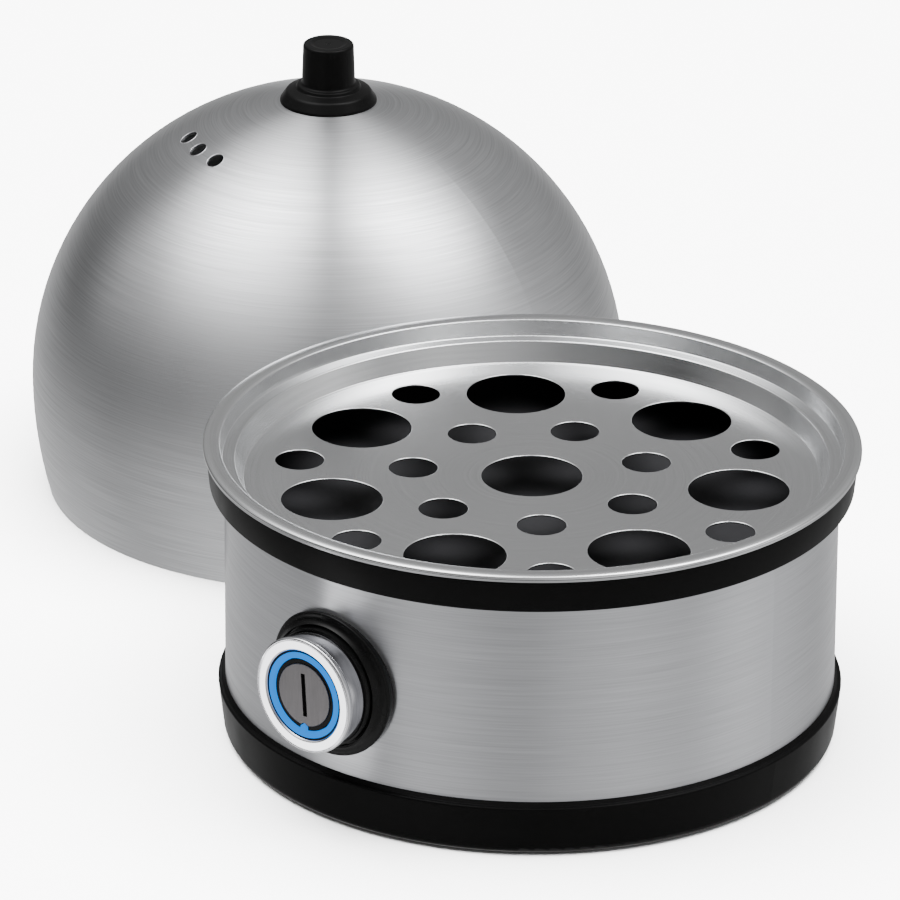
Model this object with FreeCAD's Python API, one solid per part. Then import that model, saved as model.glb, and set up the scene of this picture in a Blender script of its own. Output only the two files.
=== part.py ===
import FreeCAD, Part
import math
import os

# Electric egg cooker: a round heated base, a lift-out egg tray and a domed steel lid
# that stands on the table behind the base.
#
# Frame: millimetres, +Z up. The origin is on the base's axis at table level, and the
# push button faces -Y. An azimuth is measured round +Z from the button's side (-Y)
# towards +X, and a button depth is measured inward from the front of the shell.

V = FreeCAD.Vector
UP = V(0, 0, 1)
FRONT = V(0, -1, 0)

# ---- clearances -------------------------------------------------------------------
RUN_GAP = 0.3            # between pieces that move past each other
FIT_GAP = 0.05           # between fixed pieces that slot together

# ---- steel shell and black mouldings ----------------------------------------------
SHELL_RADIUS = 90.0
SHELL_WALL = 0.6
SHELL_EXPOSED = 61.5     # steel that shows between the two black mouldings
SHELL_ENGAGEMENT = 2.3   # hidden steel in each moulding's groove

FOOT_PROTRUSION = 0.8
HOUSING_HEIGHT = 16.5    # housing underside to the line where the shell leaves it
HOUSING_LIP = 2.2        # how far the housing stands proud of the shell
HOUSING_DRAFT = 1.8      # how much narrower the housing is at its foot
HOUSING_FOOT_ROUND = 2.5
HOUSING_WALL = 3.6
SHELF_THICKNESS = 2.5
SHELF_INSET = 32.0       # shell to the edge of the shelf's opening
LOCATING_WALL = 2.2      # housing wall inside the shell
LOCATING_HEIGHT = 4.0

TOP_RING_HEIGHT = 9.9
TOP_RING_LOW_PROUD = 4.4
TOP_RING_HIGH_PROUD = 5.4
TOP_RING_SHELF_INSET = 1.0

# ---- heating bowl -----------------------------------------------------------------
BOWL_SHEET = 0.7
BOWL_FLANGE_PROUD = 5.9  # how far the flange stands proud of the shell
BOWL_STEP_DROP = 4.7     # flange top down to the step that carries the tray
BOWL_DEPTH = 22.7        # flange top down to the bowl floor
BOWL_CORNER_RADIUS = 8.0
GASKET_INSET = 0.4       # ring bore to the gasket
GASKET_WIDTH = 1.2
GASKET_THICKNESS = 1.0   # depth of its groove

# ---- egg tray ---------------------------------------------------------------------
TRAY_SHEET = 0.6
TRAY_RIM_OVERHANG = 0.4  # rim beyond the bowl's flange
TRAY_RIM_DROP = 0.3      # outer edge of the rim below its inner edge
TRAY_RIM_EDGE = 0.5      # turned-down edge
TRAY_RIM_WIDTH = 5.1
TRAY_LEDGE_DROP = 5.3    # rim down to the ledge that the lid stands on
TRAY_WALL_TAPER = 0.6
TRAY_LEDGE_WIDTH = 3.8
TRAY_BEND_WIDTH = 2.3    # ledge's inner edge to the floor
TRAY_FLOOR_DROP = 6.3    # ledge down to the floor
EGGS_AROUND = 7
SEAT_RADIUS = 14.8
SEAT_INSET = 23.6        # floor's edge to the circle of seats
STEAM_HOLE_RADIUS = 7.2
INNER_STEAM_INSET = 49.3
OUTER_STEAM_INSET = 15.5
TRAY_TURN = 44.0         # azimuth of one pair of steam holes

# ---- lid --------------------------------------------------------------------------
LID_STAND_AZIMUTH = -120.93
LID_STAND_GAP = 4.66     # housing to the lid, where it stands beside the base
LID_SHEET = 0.8
LID_BULGE = 4.7          # how much wider the lid is where dome and skirt meet
LID_SKIRT_HEIGHT = 35.2
LID_VENT_RADIUS = 2.8
LID_VENT_CIRCLE = 44.0
LID_VENT_COUNT = 3
LID_VENT_AZIMUTH = -25.8
LID_VENT_PITCH = 14.0    # degrees between neighbouring vents

KNOB_HEIGHT = 17.7       # above the top of the dome
KNOB_TOP_RADIUS = 7.9
KNOB_STEM_RADIUS = 8.35
KNOB_FLANGE_RADIUS = 15.1
KNOB_FLANGE_HEIGHT = 4.3  # stem foot above the top of the dome
KNOB_SCREW_RADIUS = 2.0
KNOB_SCREW_HEAD_RADIUS = 3.9
KNOB_SCREW_GRIP = 11.0   # thread inside the knob
KNOB_WASHER_RADIUS = 8.0
KNOB_WASHER_THICKNESS = 1.2

# ---- push button ------------------------------------------------------------------
BUTTON_HEIGHT = 44.9     # button axis above the table
BUTTON_TRAVEL = 2.5
COLLAR_SLEEVE_WALL = 0.55
COLLAR_NECK_WALL = 0.6   # neck proud of the sleeve
COLLAR_FLANGE = 3.8      # flange proud of the neck
COLLAR_FOOT_INSET = 0.9
COLLAR_PROUD = 2.6
COLLAR_NECK_PROUD = 4.9
COLLAR_DEPTH = 12.0      # how far the sleeve runs in behind the shell
BEZEL_BARREL_RADIUS = 17.0
BEZEL_BARREL_WALL = 1.1
BEZEL_LIP = 0.5          # head proud of the barrel
BEZEL_PROUD = 12.4
BEZEL_HEAD = 1.6
BEZEL_FACE_WIDTH = 3.85  # across the head's ring
BEZEL_DEPTH = 8.0
RETAINER_WIDTH = 0.65    # seen between the bezel and the lens
LENS_WIDTH = 1.7
LENS_PROUD = 12.2
LENS_LENGTH = 5.0
TOOTH_RADIUS = 0.95
TOOTH_REACH = 1.25       # lens inner edge to the tooth's centre
RETAINER_STEP = 0.5      # how far the lens retainer sits behind the lens face
CAP_PROUD = 11.4
CAP_LENGTH = 5.0
CAP_RIM_WIDTH = 1.8      # lens to the disc
DISC_PROUD = 11.75
DISC_THICKNESS = 1.0
DISC_RECESS_GAP = 0.05
LINE_LENGTH = 13.2
LINE_WIDTH = 1.5
LINE_TILT = 4.0          # degrees that the line leans off upright
PLUNGER_RADIUS = 4.0
PLUNGER_REACH = 12.0     # how far the plunger runs in behind the shell front
LED_BOARD_PROUD = 3.6
LED_BOARD_THICKNESS = 1.6
LED_BOARD_INNER = 8.0
LED_COUNT = 6
LED_SIZE = 2.0           # along the ring, and tall
LED_INSET = 0.1          # each side, from the lens's edges
SPRING_RADIUS = 5.6
SPRING_WIRE = 0.5
SPRING_TURNS = 4
NUT_WALL = 2.6
NUT_THICKNESS = 4.0
SWITCH_SIDE_INSET = 5.0  # inside the bezel's barrel
SWITCH_TOP_INSET = 6.0
SWITCH_LENGTH = 13.0
SWITCH_BORE_DEPTH = 9.0

# ---- heater and controls under the bowl -------------------------------------------
MOUNT_RING_WIDTH = 12.0
MOUNT_RING_THICKNESS = 1.0
STANDOFF_COUNT = 3
STANDOFF_INSET = 21.0    # shell to the circle of posts
STANDOFF_RADIUS = 4.0
STANDOFF_BORE = 2.05
STANDOFF_AZIMUTH = 90.0
STUD_RADIUS = 2.0
STUD_LENGTH = 8.0
SCREW_HEAD_RADIUS = 3.6
SCREW_HEAD_HEIGHT = 2.2
SCREW_GRIP = 9.0
SPREADER_GAP = 4.0       # shelf's opening to the plate
SPREADER_THICKNESS = 3.2
ELEMENT_INSET = 8.0      # plate's edge to the element's circle
ELEMENT_RADIUS = 3.2
ELEMENT_GAP_ANGLE = 36.0
ELEMENT_AZIMUTH = 180.0
COLD_PIN_RADIUS = 1.2
COLD_PIN_LENGTH = 9.0
THERMOSTAT_RADIUS = 9.0
THERMOSTAT_HEIGHT = 8.0
BRACKET_SPAN = 27.0
BRACKET_WIDTH = 11.0
BRACKET_SHEET = 1.0
BRACKET_FOOT = 9.0
FUSE_RADIUS = 1.9
FUSE_LENGTH = 12.0
BRACKET_SCREW_RADIUS = 1.5

# ---- underside --------------------------------------------------------------------
COVER_THICKNESS = 3.0
COVER_RECESS = 0.8       # cover underside above the housing underside
FOOT_RING_INSET = 3.9    # housing's inside to the foot ring's circle
FOOT_RING_WIDTH = 4.0
FOOT_GROOVE = 1.2
COVER_SCREW_COUNT = 4
COVER_SCREW_INSET = 16.9
COVER_SCREW_AZIMUTH = 45.0
BOSS_RADIUS = 4.6
COVER_SCREW_RADIUS = 1.6
COVER_HEAD_RADIUS = 3.4
COVER_HEAD_SUNK = 1.4
COVER_SCREW_GRIP = 6.0
VENT_SLOT_COUNT = 5
VENT_SLOT_LENGTH = 30.0
VENT_SLOT_WIDTH = 2.4
VENT_SLOT_PITCH = 7.0

GLAND_HEIGHT = 8.6       # gland axis above the table
GLAND_BORE = 3.4
GLAND_BODY_RADIUS = 5.0
GLAND_FLANGE_RADIUS = 6.4
GLAND_FLANGE_THICKNESS = 2.4
GLAND_SEAT = 1.6         # flange recess below the housing's widest radius
GLAND_TAIL = 3.0         # tail inside the housing wall

TERMINAL_LENGTH = 34.0
TERMINAL_DEPTH = 12.0
TERMINAL_HEIGHT = 13.0
TERMINAL_INSET = 16.0    # shelf's opening to the block's front face
TERMINAL_WAYS = 3
TERMINAL_PITCH = 10.0
TERMINAL_SCREW_RADIUS = 1.6
BUZZER_RADIUS = 7.0
BUZZER_HEIGHT = 6.0
BUZZER_PLACE = (26.0, -30.0)
BLADE_REACH = 6.0        # thermostat's side to the middle of its blade
BLADE_LIFT = 3.0         # thermostat's underside to its blade
ENTRY_LIFT = 4.0         # terminal block's underside to its wires
WIRE_RADIUS = 0.9
WIRE_BEND = 6.0
WIRE_LEAD = 14.0         # straight run out of a terminal or a blade
WIRE_SWING = 34.0        # run that takes a wire round the thermostat
WIRE_DROP = 12.0         # how far a wire hangs below a blade or a pin
EARTH_TAG_WIDTH = 6.3
EARTH_TAG_LENGTH = 10.0
EARTH_TAG_THICKNESS = 0.8

# ---- heights and radii that follow ------------------------------------------------
housing_foot_z = FOOT_PROTRUSION
shell_show_low = housing_foot_z + HOUSING_HEIGHT
shell_show_high = shell_show_low + SHELL_EXPOSED
shell_low = shell_show_low - SHELL_ENGAGEMENT
shell_high = shell_show_high + SHELL_ENGAGEMENT
shell_inner = SHELL_RADIUS - SHELL_WALL
housing_lip_radius = SHELL_RADIUS + HOUSING_LIP
housing_foot_radius = housing_lip_radius - HOUSING_DRAFT
housing_inner = housing_foot_radius - HOUSING_FOOT_ROUND - HOUSING_WALL + 0.6
shelf_top = shell_low
shelf_low = shelf_top - SHELF_THICKNESS
shelf_opening = SHELL_RADIUS - SHELF_INSET
foot_ring_circle = housing_inner - FOOT_RING_INSET
cover_screw_circle = housing_inner - COVER_SCREW_INSET

ring_top = shell_show_high + TOP_RING_HEIGHT
flange_top = ring_top + BOWL_SHEET + FIT_GAP
step_top = flange_top - BOWL_STEP_DROP
bowl_floor = flange_top - BOWL_DEPTH
bowl_under = bowl_floor - BOWL_SHEET

flange_radius = SHELL_RADIUS + BOWL_FLANGE_PROUD
tray_rim_radius = flange_radius + TRAY_RIM_OVERHANG
tray_well_radius = tray_rim_radius - TRAY_RIM_WIDTH
ledge_outer = tray_well_radius - TRAY_WALL_TAPER
ledge_inner = ledge_outer - TRAY_LEDGE_WIDTH
floor_radius = ledge_inner - TRAY_BEND_WIDTH
seat_circle = floor_radius - SEAT_INSET
steam_circles = (floor_radius - INNER_STEAM_INSET, floor_radius - OUTER_STEAM_INSET)
tray_ledge_top = step_top + RUN_GAP + TRAY_SHEET
tray_rim_top = tray_ledge_top + TRAY_LEDGE_DROP
tray_floor_top = tray_ledge_top - TRAY_FLOOR_DROP
bowl_upper_radius = tray_well_radius + TRAY_SHEET + RUN_GAP
bowl_lower_radius = ledge_inner + TRAY_SHEET + 2 * RUN_GAP
ring_bore = bowl_upper_radius + BOWL_SHEET + RUN_GAP / 2
ring_low_bore = bowl_lower_radius + BOWL_SHEET + RUN_GAP

lid_mouth_radius = (ledge_outer + ledge_inner) / 2
lid_radius = lid_mouth_radius + LID_BULGE
lid_distance = housing_lip_radius + LID_STAND_GAP + lid_radius
dome_top = LID_SKIRT_HEIGHT + lid_radius

bezel_radius = BEZEL_BARREL_RADIUS + BEZEL_LIP
bezel_bore = BEZEL_BARREL_RADIUS - BEZEL_BARREL_WALL
bezel_opening = bezel_radius - BEZEL_FACE_WIDTH
lens_outer = bezel_opening - RETAINER_WIDTH
lens_inner = lens_outer - LENS_WIDTH
disc_radius = lens_inner - CAP_RIM_WIDTH
collar_sleeve_radius = BEZEL_BARREL_RADIUS + FIT_GAP + COLLAR_SLEEVE_WALL
collar_neck_radius = collar_sleeve_radius + COLLAR_NECK_WALL
collar_radius = collar_neck_radius + COLLAR_FLANGE
collar_foot_radius = collar_radius - COLLAR_FOOT_INSET
switch_width = 2 * (BEZEL_BARREL_RADIUS - SWITCH_SIDE_INSET)
switch_height = 2 * (BEZEL_BARREL_RADIUS - SWITCH_TOP_INSET)

standoff_circle = SHELL_RADIUS - STANDOFF_INSET
spreader_radius = shelf_opening - SPREADER_GAP
element_circle = spreader_radius - ELEMENT_INSET
terminal_front = shelf_opening - TERMINAL_INSET
spreader_low = bowl_under - SPREADER_THICKNESS
element_z = spreader_low - ELEMENT_RADIUS
thermostat_low = spreader_low - THERMOSTAT_HEIGHT
bracket_low = thermostat_low - BRACKET_SHEET
mount_ring_low = bowl_under - MOUNT_RING_THICKNESS
cover_low = housing_foot_z + COVER_RECESS
cover_top = cover_low + COVER_THICKNESS


# ---- helpers ----------------------------------------------------------------------
def polar(radius, azimuth, z=0.0):
    """Point at an azimuth from the button's side, in degrees, and a height."""
    angle = math.radians(azimuth)
    return V(radius * math.sin(angle), -radius * math.cos(angle), z)


def rounded_wire(corners):
    """Closed wire in the XZ plane. A corner is (r, z) or (r, z, rounding radius)."""
    edges = []
    ends = []
    count = len(corners)
    for i, corner in enumerate(corners):
        here = V(corner[0], 0, corner[1])
        radius = corner[2] if len(corner) > 2 else 0.0
        if radius <= 0:
            ends.append((here, here, None))
            continue
        before = corners[i - 1]
        after = corners[(i + 1) % count]
        back = (V(before[0], 0, before[1]) - here).normalize()
        ahead = (V(after[0], 0, after[1]) - here).normalize()
        half = back.getAngle(ahead) / 2
        setback = radius / math.tan(half)
        middle = (back + ahead).normalize()
        centre = here + middle * (radius / math.sin(half))
        ends.append((here + back * setback, here + ahead * setback, centre - middle * radius))
    for i, (start, end, mid) in enumerate(ends):
        if mid is not None:
            edges.append(Part.Arc(start, mid, end).toShape())
        following = ends[(i + 1) % count][0]
        if end.distanceToPoint(following) > 1e-7:
            edges.append(Part.LineSegment(end, following).toShape())
    return Part.Wire(edges)


def lathe(corners):
    """Solid of revolution about the Z axis from rounded corners."""
    return Part.Face(rounded_wire(corners)).revolve(V(0, 0, 0), UP, 360)


def sheet_profile(path, thickness):
    """Corners of a sheet: the path (r, z, rounding) and its offset on the right."""
    offset = []
    last = len(path) - 1
    for i, corner in enumerate(path):
        here = V(corner[0], 0, corner[1])
        rounding = corner[2] if len(corner) > 2 else 0.0
        ways = []
        if i > 0:
            ways.append((here - V(path[i - 1][0], 0, path[i - 1][1])).normalize())
        if i < last:
            ways.append((V(path[i + 1][0], 0, path[i + 1][1]) - here).normalize())
        normals = [V(way.z, 0, -way.x) for way in ways]
        total = normals[0] + normals[-1]
        shift = total * (2 * thickness / total.dot(total))
        if rounding > 0:
            turn = ways[0].x * ways[1].z - ways[0].z * ways[1].x
            rounding = max(rounding + (thickness if turn > 0 else -thickness), 0.0)
        moved = here + shift
        offset.append((moved.x, moved.z, rounding))
    return list(path) + offset[::-1]


def tube(outer, inner, low, height, centre=V(0, 0, 0)):
    """Upright ring of a given height from z = low."""
    base = centre + V(0, 0, low)
    return Part.makeCylinder(outer, height, base).cut(Part.makeCylinder(inner, height, base))


def face_on(depth_out):
    """Point on the button axis, a distance out from the front of the shell."""
    return V(0, -SHELL_RADIUS - depth_out, BUTTON_HEIGHT)


def button_lathe(corners):
    """Solid of revolution about the button axis. A corner is (radius, out[, rounding])."""
    solid = lathe(corners)
    solid.rotate(V(0, 0, 0), V(1, 0, 0), 90)
    solid.translate(face_on(0))
    return solid


def at_azimuths(count, first):
    """Evenly spaced azimuths, in degrees."""
    return [first + i * 360.0 / count for i in range(count)]


def wire_run(points):
    """Round wire along points, with a tangent arc at every inner point."""
    points = [V(*p) for p in points]
    edges = []
    here = points[0]
    for i in range(1, len(points) - 1):
        back = (points[i - 1] - points[i]).normalize()
        ahead = (points[i + 1] - points[i]).normalize()
        half = back.getAngle(ahead) / 2
        shorter = min(points[i - 1].distanceToPoint(points[i]), points[i + 1].distanceToPoint(points[i]))
        bend = min(WIRE_BEND, 0.45 * shorter * math.tan(half))
        setback = bend / math.tan(half)
        middle = (back + ahead).normalize()
        start = points[i] + back * setback
        end = points[i] + ahead * setback
        mid = points[i] + middle * (bend / math.sin(half) - bend)
        edges.append(Part.LineSegment(here, start).toShape())
        edges.append(Part.Arc(start, mid, end).toShape())
        here = end
    edges.append(Part.LineSegment(here, points[-1]).toShape())
    path = Part.Wire(edges)
    section = Part.Wire(Part.makeCircle(WIRE_RADIUS, points[0], points[1] - points[0]))
    return path.makePipeShell([section], True, False)


def gasket_space(top):
    """Ring of the gasket's section, from the bottom of its groove up to a height."""
    inner = ring_bore + GASKET_INSET
    low = ring_top - GASKET_THICKNESS
    return tube(inner + GASKET_WIDTH, inner, low, top - low)


# ---- base casing ------------------------------------------------------------------
def housing():
    lip_z = shell_show_low - 1.2
    body = lathe([
        (housing_inner, housing_foot_z),
        (housing_foot_radius, housing_foot_z, HOUSING_FOOT_ROUND),
        (housing_lip_radius, lip_z, 0.7),
        (SHELL_RADIUS + 1.0, lip_z, 0.4),
        (SHELL_RADIUS + FIT_GAP, shell_show_low),
        (SHELL_RADIUS + FIT_GAP, shell_low),
        (shell_inner - FIT_GAP, shell_low),
        (shell_inner - FIT_GAP, shell_low + LOCATING_HEIGHT),
        (shell_inner - FIT_GAP - LOCATING_WALL, shell_low + LOCATING_HEIGHT),
        (shell_inner - FIT_GAP - LOCATING_WALL, shelf_top),
        (shelf_opening, shelf_top),
        (shelf_opening, shelf_low),
        (housing_inner, shelf_low),
    ])
    boss_height = shelf_low - cover_top
    for azimuth in at_azimuths(COVER_SCREW_COUNT, COVER_SCREW_AZIMUTH):
        base = polar(cover_screw_circle, azimuth, cover_top)
        body = body.fuse(Part.makeCylinder(BOSS_RADIUS, boss_height, base))
        body = body.cut(Part.makeCylinder(COVER_SCREW_RADIUS + FIT_GAP, COVER_SCREW_GRIP + 1, base))
    for azimuth in at_azimuths(STANDOFF_COUNT, STANDOFF_AZIMUTH):
        base = polar(standoff_circle, azimuth, shelf_low)
        body = body.cut(Part.makeCylinder(STUD_RADIUS + FIT_GAP, SHELF_THICKNESS, base))
    seat = V(0, housing_lip_radius - GLAND_SEAT, GLAND_HEIGHT)
    body = body.cut(Part.makeCylinder(GLAND_FLANGE_RADIUS + FIT_GAP, 3 * GLAND_SEAT, seat, V(0, 1, 0)))
    depth = housing_lip_radius - housing_inner + GLAND_SEAT
    hole = seat - V(0, depth, 0)
    body = body.cut(Part.makeCylinder(GLAND_BODY_RADIUS + FIT_GAP, depth + GLAND_SEAT, hole, V(0, 1, 0)))
    return body.removeSplitter()


def bottom_cover():
    cover = Part.makeCylinder(housing_inner - FIT_GAP, COVER_THICKNESS, V(0, 0, cover_low))
    groove_low = foot_ring_circle - FOOT_RING_WIDTH / 2 - FIT_GAP
    groove_high = foot_ring_circle + FOOT_RING_WIDTH / 2 + FIT_GAP
    cover = cover.cut(tube(groove_high, groove_low, cover_low, FOOT_GROOVE))
    for azimuth in at_azimuths(COVER_SCREW_COUNT, COVER_SCREW_AZIMUTH):
        base = polar(cover_screw_circle, azimuth, cover_low)
        cover = cover.cut(Part.makeCylinder(COVER_SCREW_RADIUS + FIT_GAP, COVER_THICKNESS, base))
        cover = cover.cut(Part.makeCylinder(COVER_HEAD_RADIUS + FIT_GAP, COVER_HEAD_SUNK, base))
    for i in range(VENT_SLOT_COUNT):
        y = (i - (VENT_SLOT_COUNT - 1) / 2) * VENT_SLOT_PITCH
        corner = V(-VENT_SLOT_LENGTH / 2, y - VENT_SLOT_WIDTH / 2, cover_low)
        cover = cover.cut(Part.makeBox(VENT_SLOT_LENGTH, VENT_SLOT_WIDTH, COVER_THICKNESS, corner))
    notch_start = V(0, housing_inner - GLAND_TAIL - RUN_GAP, GLAND_HEIGHT)
    notch = Part.makeCylinder(GLAND_BODY_RADIUS + RUN_GAP, 2 * GLAND_TAIL, notch_start, V(0, 1, 0))
    return cover.cut(notch)


def cover_screws():
    screws = []
    head_low = cover_low + 0.2
    for azimuth in at_azimuths(COVER_SCREW_COUNT, COVER_SCREW_AZIMUTH):
        base = polar(cover_screw_circle, azimuth, head_low)
        head_height = cover_low + COVER_HEAD_SUNK - head_low
        head = Part.makeCylinder(COVER_HEAD_RADIUS, head_height, base)
        cross = 2 * COVER_HEAD_RADIUS * 0.6
        for x, y in ((cross, 0.8), (0.8, cross)):
            head = head.cut(Part.makeBox(x, y, 0.6, base - V(x / 2, y / 2, 0)))
        shank_length = cover_top + COVER_SCREW_GRIP - head_low
        shank = Part.makeCylinder(COVER_SCREW_RADIUS, shank_length - 0.6, base + V(0, 0, 0.6))
        screws.append(head.fuse(shank).removeSplitter())
    return Part.makeCompound(screws)


def foot_ring():
    height = cover_low + FOOT_GROOVE
    inner = foot_ring_circle - FOOT_RING_WIDTH / 2
    outer = foot_ring_circle + FOOT_RING_WIDTH / 2
    return lathe([(inner, 0, 0.4), (outer, 0, 0.4), (outer, height), (inner, height)])


def cord_gland():
    seat_y = housing_lip_radius - GLAND_SEAT
    tail_y = housing_inner - GLAND_TAIL
    flange = Part.makeCylinder(GLAND_FLANGE_RADIUS, GLAND_FLANGE_THICKNESS, V(0, seat_y, GLAND_HEIGHT), V(0, 1, 0))
    flange = flange.makeFillet(0.8, [flange.Edges[0]])
    length = seat_y - tail_y
    body = Part.makeCylinder(GLAND_BODY_RADIUS, length, V(0, tail_y, GLAND_HEIGHT), V(0, 1, 0))
    bore = Part.makeCylinder(
        GLAND_BORE, length + GLAND_FLANGE_THICKNESS, V(0, tail_y, GLAND_HEIGHT), V(0, 1, 0))
    return flange.fuse(body).cut(bore).removeSplitter()


def shell_band():
    band = tube(SHELL_RADIUS, shell_inner, shell_low, shell_high - shell_low)
    hole = Part.makeCylinder(
        collar_sleeve_radius + FIT_GAP, SHELL_RADIUS, V(0, 0, BUTTON_HEIGHT), FRONT)
    return band.cut(hole)


def top_ring():
    low_radius = SHELL_RADIUS + TOP_RING_LOW_PROUD
    high_radius = SHELL_RADIUS + TOP_RING_HIGH_PROUD
    shelf = step_top - BOWL_SHEET
    ring = lathe([
        (SHELL_RADIUS + FIT_GAP, shell_show_high),
        (low_radius, shell_show_high, 0.8),
        (high_radius, ring_top, 0.6),
        (ring_bore, ring_top),
        (ring_bore, shelf),
        (ring_low_bore, shelf),
        (ring_low_bore, shell_high),
        (SHELL_RADIUS + FIT_GAP, shell_high),
    ])
    return ring.cut(gasket_space(ring_top))


# ---- heating bowl and tray --------------------------------------------------------
def heating_bowl():
    return lathe(sheet_profile([
        (flange_radius, flange_top),
        (bowl_upper_radius, flange_top, 0.3),
        (bowl_upper_radius, step_top, 0.5),
        (bowl_lower_radius, step_top, 0.8),
        (bowl_lower_radius, bowl_floor, BOWL_CORNER_RADIUS),
        (0, bowl_floor),
    ], -BOWL_SHEET))


def bowl_gasket():
    return gasket_space(flange_top - BOWL_SHEET)


def egg_tray():
    tray = lathe(sheet_profile([
        (tray_rim_radius, tray_rim_top - TRAY_RIM_DROP - TRAY_RIM_EDGE),
        (tray_rim_radius, tray_rim_top - TRAY_RIM_DROP, 0.4),
        (tray_well_radius, tray_rim_top, 0.7),
        (ledge_outer, tray_ledge_top, 0.3),
        (ledge_inner, tray_ledge_top, 0.7),
        (floor_radius, tray_floor_top, 0.5),
        (0, tray_floor_top),
    ], -TRAY_SHEET))
    low = tray_floor_top - 2 * TRAY_SHEET
    height = 3 * TRAY_SHEET
    holes = [Part.makeCylinder(SEAT_RADIUS, height, V(0, 0, low))]
    half_pitch = 180.0 / EGGS_AROUND
    for azimuth in at_azimuths(EGGS_AROUND, TRAY_TURN):
        holes.append(Part.makeCylinder(SEAT_RADIUS, height, polar(seat_circle, azimuth + half_pitch, low)))
        for circle in steam_circles:
            holes.append(Part.makeCylinder(STEAM_HOLE_RADIUS, height, polar(circle, azimuth, low)))
    return tray.cut(Part.makeCompound(holes))


# ---- heater and controls ----------------------------------------------------------
def bowl_mount_ring():
    half = MOUNT_RING_WIDTH / 2
    return tube(standoff_circle + half, standoff_circle - half, mount_ring_low, MOUNT_RING_THICKNESS)


def bowl_studs():
    studs = []
    for azimuth in at_azimuths(STANDOFF_COUNT, STANDOFF_AZIMUTH):
        base = polar(standoff_circle, azimuth, mount_ring_low - STUD_LENGTH)
        studs.append(Part.makeCylinder(STUD_RADIUS, STUD_LENGTH, base))
    return Part.makeCompound(studs)


def standoff(azimuth):
    base = polar(standoff_circle, azimuth, shelf_top)
    height = mount_ring_low - shelf_top
    post = Part.makeCylinder(STANDOFF_RADIUS, height, base)
    lower = Part.makeCylinder(STANDOFF_BORE, SCREW_GRIP + 1, base)
    upper_length = STUD_LENGTH + 1
    upper = Part.makeCylinder(STANDOFF_BORE, upper_length, base + V(0, 0, height - upper_length))
    return post.cut(lower).cut(upper)


def standoff_screws():
    screws = []
    for azimuth in at_azimuths(STANDOFF_COUNT, STANDOFF_AZIMUTH):
        base = polar(standoff_circle, azimuth, shelf_low - SCREW_HEAD_HEIGHT)
        head = Part.makeCylinder(SCREW_HEAD_RADIUS, SCREW_HEAD_HEIGHT, base)
        shank = Part.makeCylinder(STUD_RADIUS, SCREW_HEAD_HEIGHT + SHELF_THICKNESS + SCREW_GRIP, base)
        screws.append(head.fuse(shank).removeSplitter())
    return Part.makeCompound(screws)


def heat_spreader():
    return Part.makeCylinder(spreader_radius, SPREADER_THICKNESS, V(0, 0, spreader_low))


def element_end(side):
    """Where the element's tube ends, at either side of its gap."""
    return polar(element_circle, ELEMENT_AZIMUTH + side * ELEMENT_GAP_ANGLE / 2, element_z)


def heater_element():
    start = element_end(1)
    along = V(0, 0, 1).cross(start).normalize()
    section = Part.Face(Part.Wire(Part.makeCircle(ELEMENT_RADIUS, start, along)))
    element = section.revolve(V(0, 0, element_z), UP, 360 - ELEMENT_GAP_ANGLE)
    for side in (1, -1):
        end = element_end(side)
        inward = along if side > 0 else V(0, 0, 1).cross(end).normalize() * -1
        pin = end + inward * (2.5 * COLD_PIN_RADIUS)
        pin_base = V(pin.x, pin.y, element_z - COLD_PIN_LENGTH)
        element = element.fuse(Part.makeCylinder(COLD_PIN_RADIUS, COLD_PIN_LENGTH, pin_base))
    return element.removeSplitter()


def thermostat():
    body = Part.makeCylinder(THERMOSTAT_RADIUS, THERMOSTAT_HEIGHT, V(0, 0, thermostat_low))
    for side in (1, -1):
        corner = V(side * (THERMOSTAT_RADIUS + 2.5) - 3.5, -2.4, thermostat_low + 3.0)
        body = body.fuse(Part.makeBox(7.0, 4.8, 0.8, corner))
    return body.removeSplitter()


def thermostat_bracket():
    strap = Part.makeBox(BRACKET_WIDTH, 2 * BRACKET_SPAN, BRACKET_SHEET,
                         V(-BRACKET_WIDTH / 2, -BRACKET_SPAN, bracket_low))
    leg_height = spreader_low - bracket_low
    for side in (1, -1):
        leg_y = side * BRACKET_SPAN - (BRACKET_SHEET if side > 0 else 0)
        strap = strap.fuse(Part.makeBox(BRACKET_WIDTH, BRACKET_SHEET, leg_height,
                                        V(-BRACKET_WIDTH / 2, leg_y, bracket_low)))
        foot_y = BRACKET_SPAN - BRACKET_SHEET if side > 0 else -BRACKET_SPAN - BRACKET_FOOT + BRACKET_SHEET
        foot = Part.makeBox(BRACKET_WIDTH, BRACKET_FOOT, BRACKET_SHEET,
                            V(-BRACKET_WIDTH / 2, foot_y, spreader_low - BRACKET_SHEET))
        strap = strap.fuse(foot)
        strap = strap.cut(bracket_screw_hole(side))
    return strap.removeSplitter()


def bracket_screw_place(side):
    return V(0, side * (BRACKET_SPAN + BRACKET_FOOT / 2), spreader_low)


def bracket_screw_hole(side):
    place = bracket_screw_place(side)
    return Part.makeCylinder(BRACKET_SCREW_RADIUS + FIT_GAP, 3 * BRACKET_SHEET, place - V(0, 0, 2 * BRACKET_SHEET))


def bracket_screws():
    screws = []
    for side in (1, -1):
        place = bracket_screw_place(side)
        head = Part.makeCylinder(2 * BRACKET_SCREW_RADIUS, 1.8, place - V(0, 0, BRACKET_SHEET + 1.8))
        shank = Part.makeCylinder(BRACKET_SCREW_RADIUS, BRACKET_SHEET + 1.8, place - V(0, 0, BRACKET_SHEET + 1.8))
        screws.append(head.fuse(shank).removeSplitter())
    return Part.makeCompound(screws)


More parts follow.
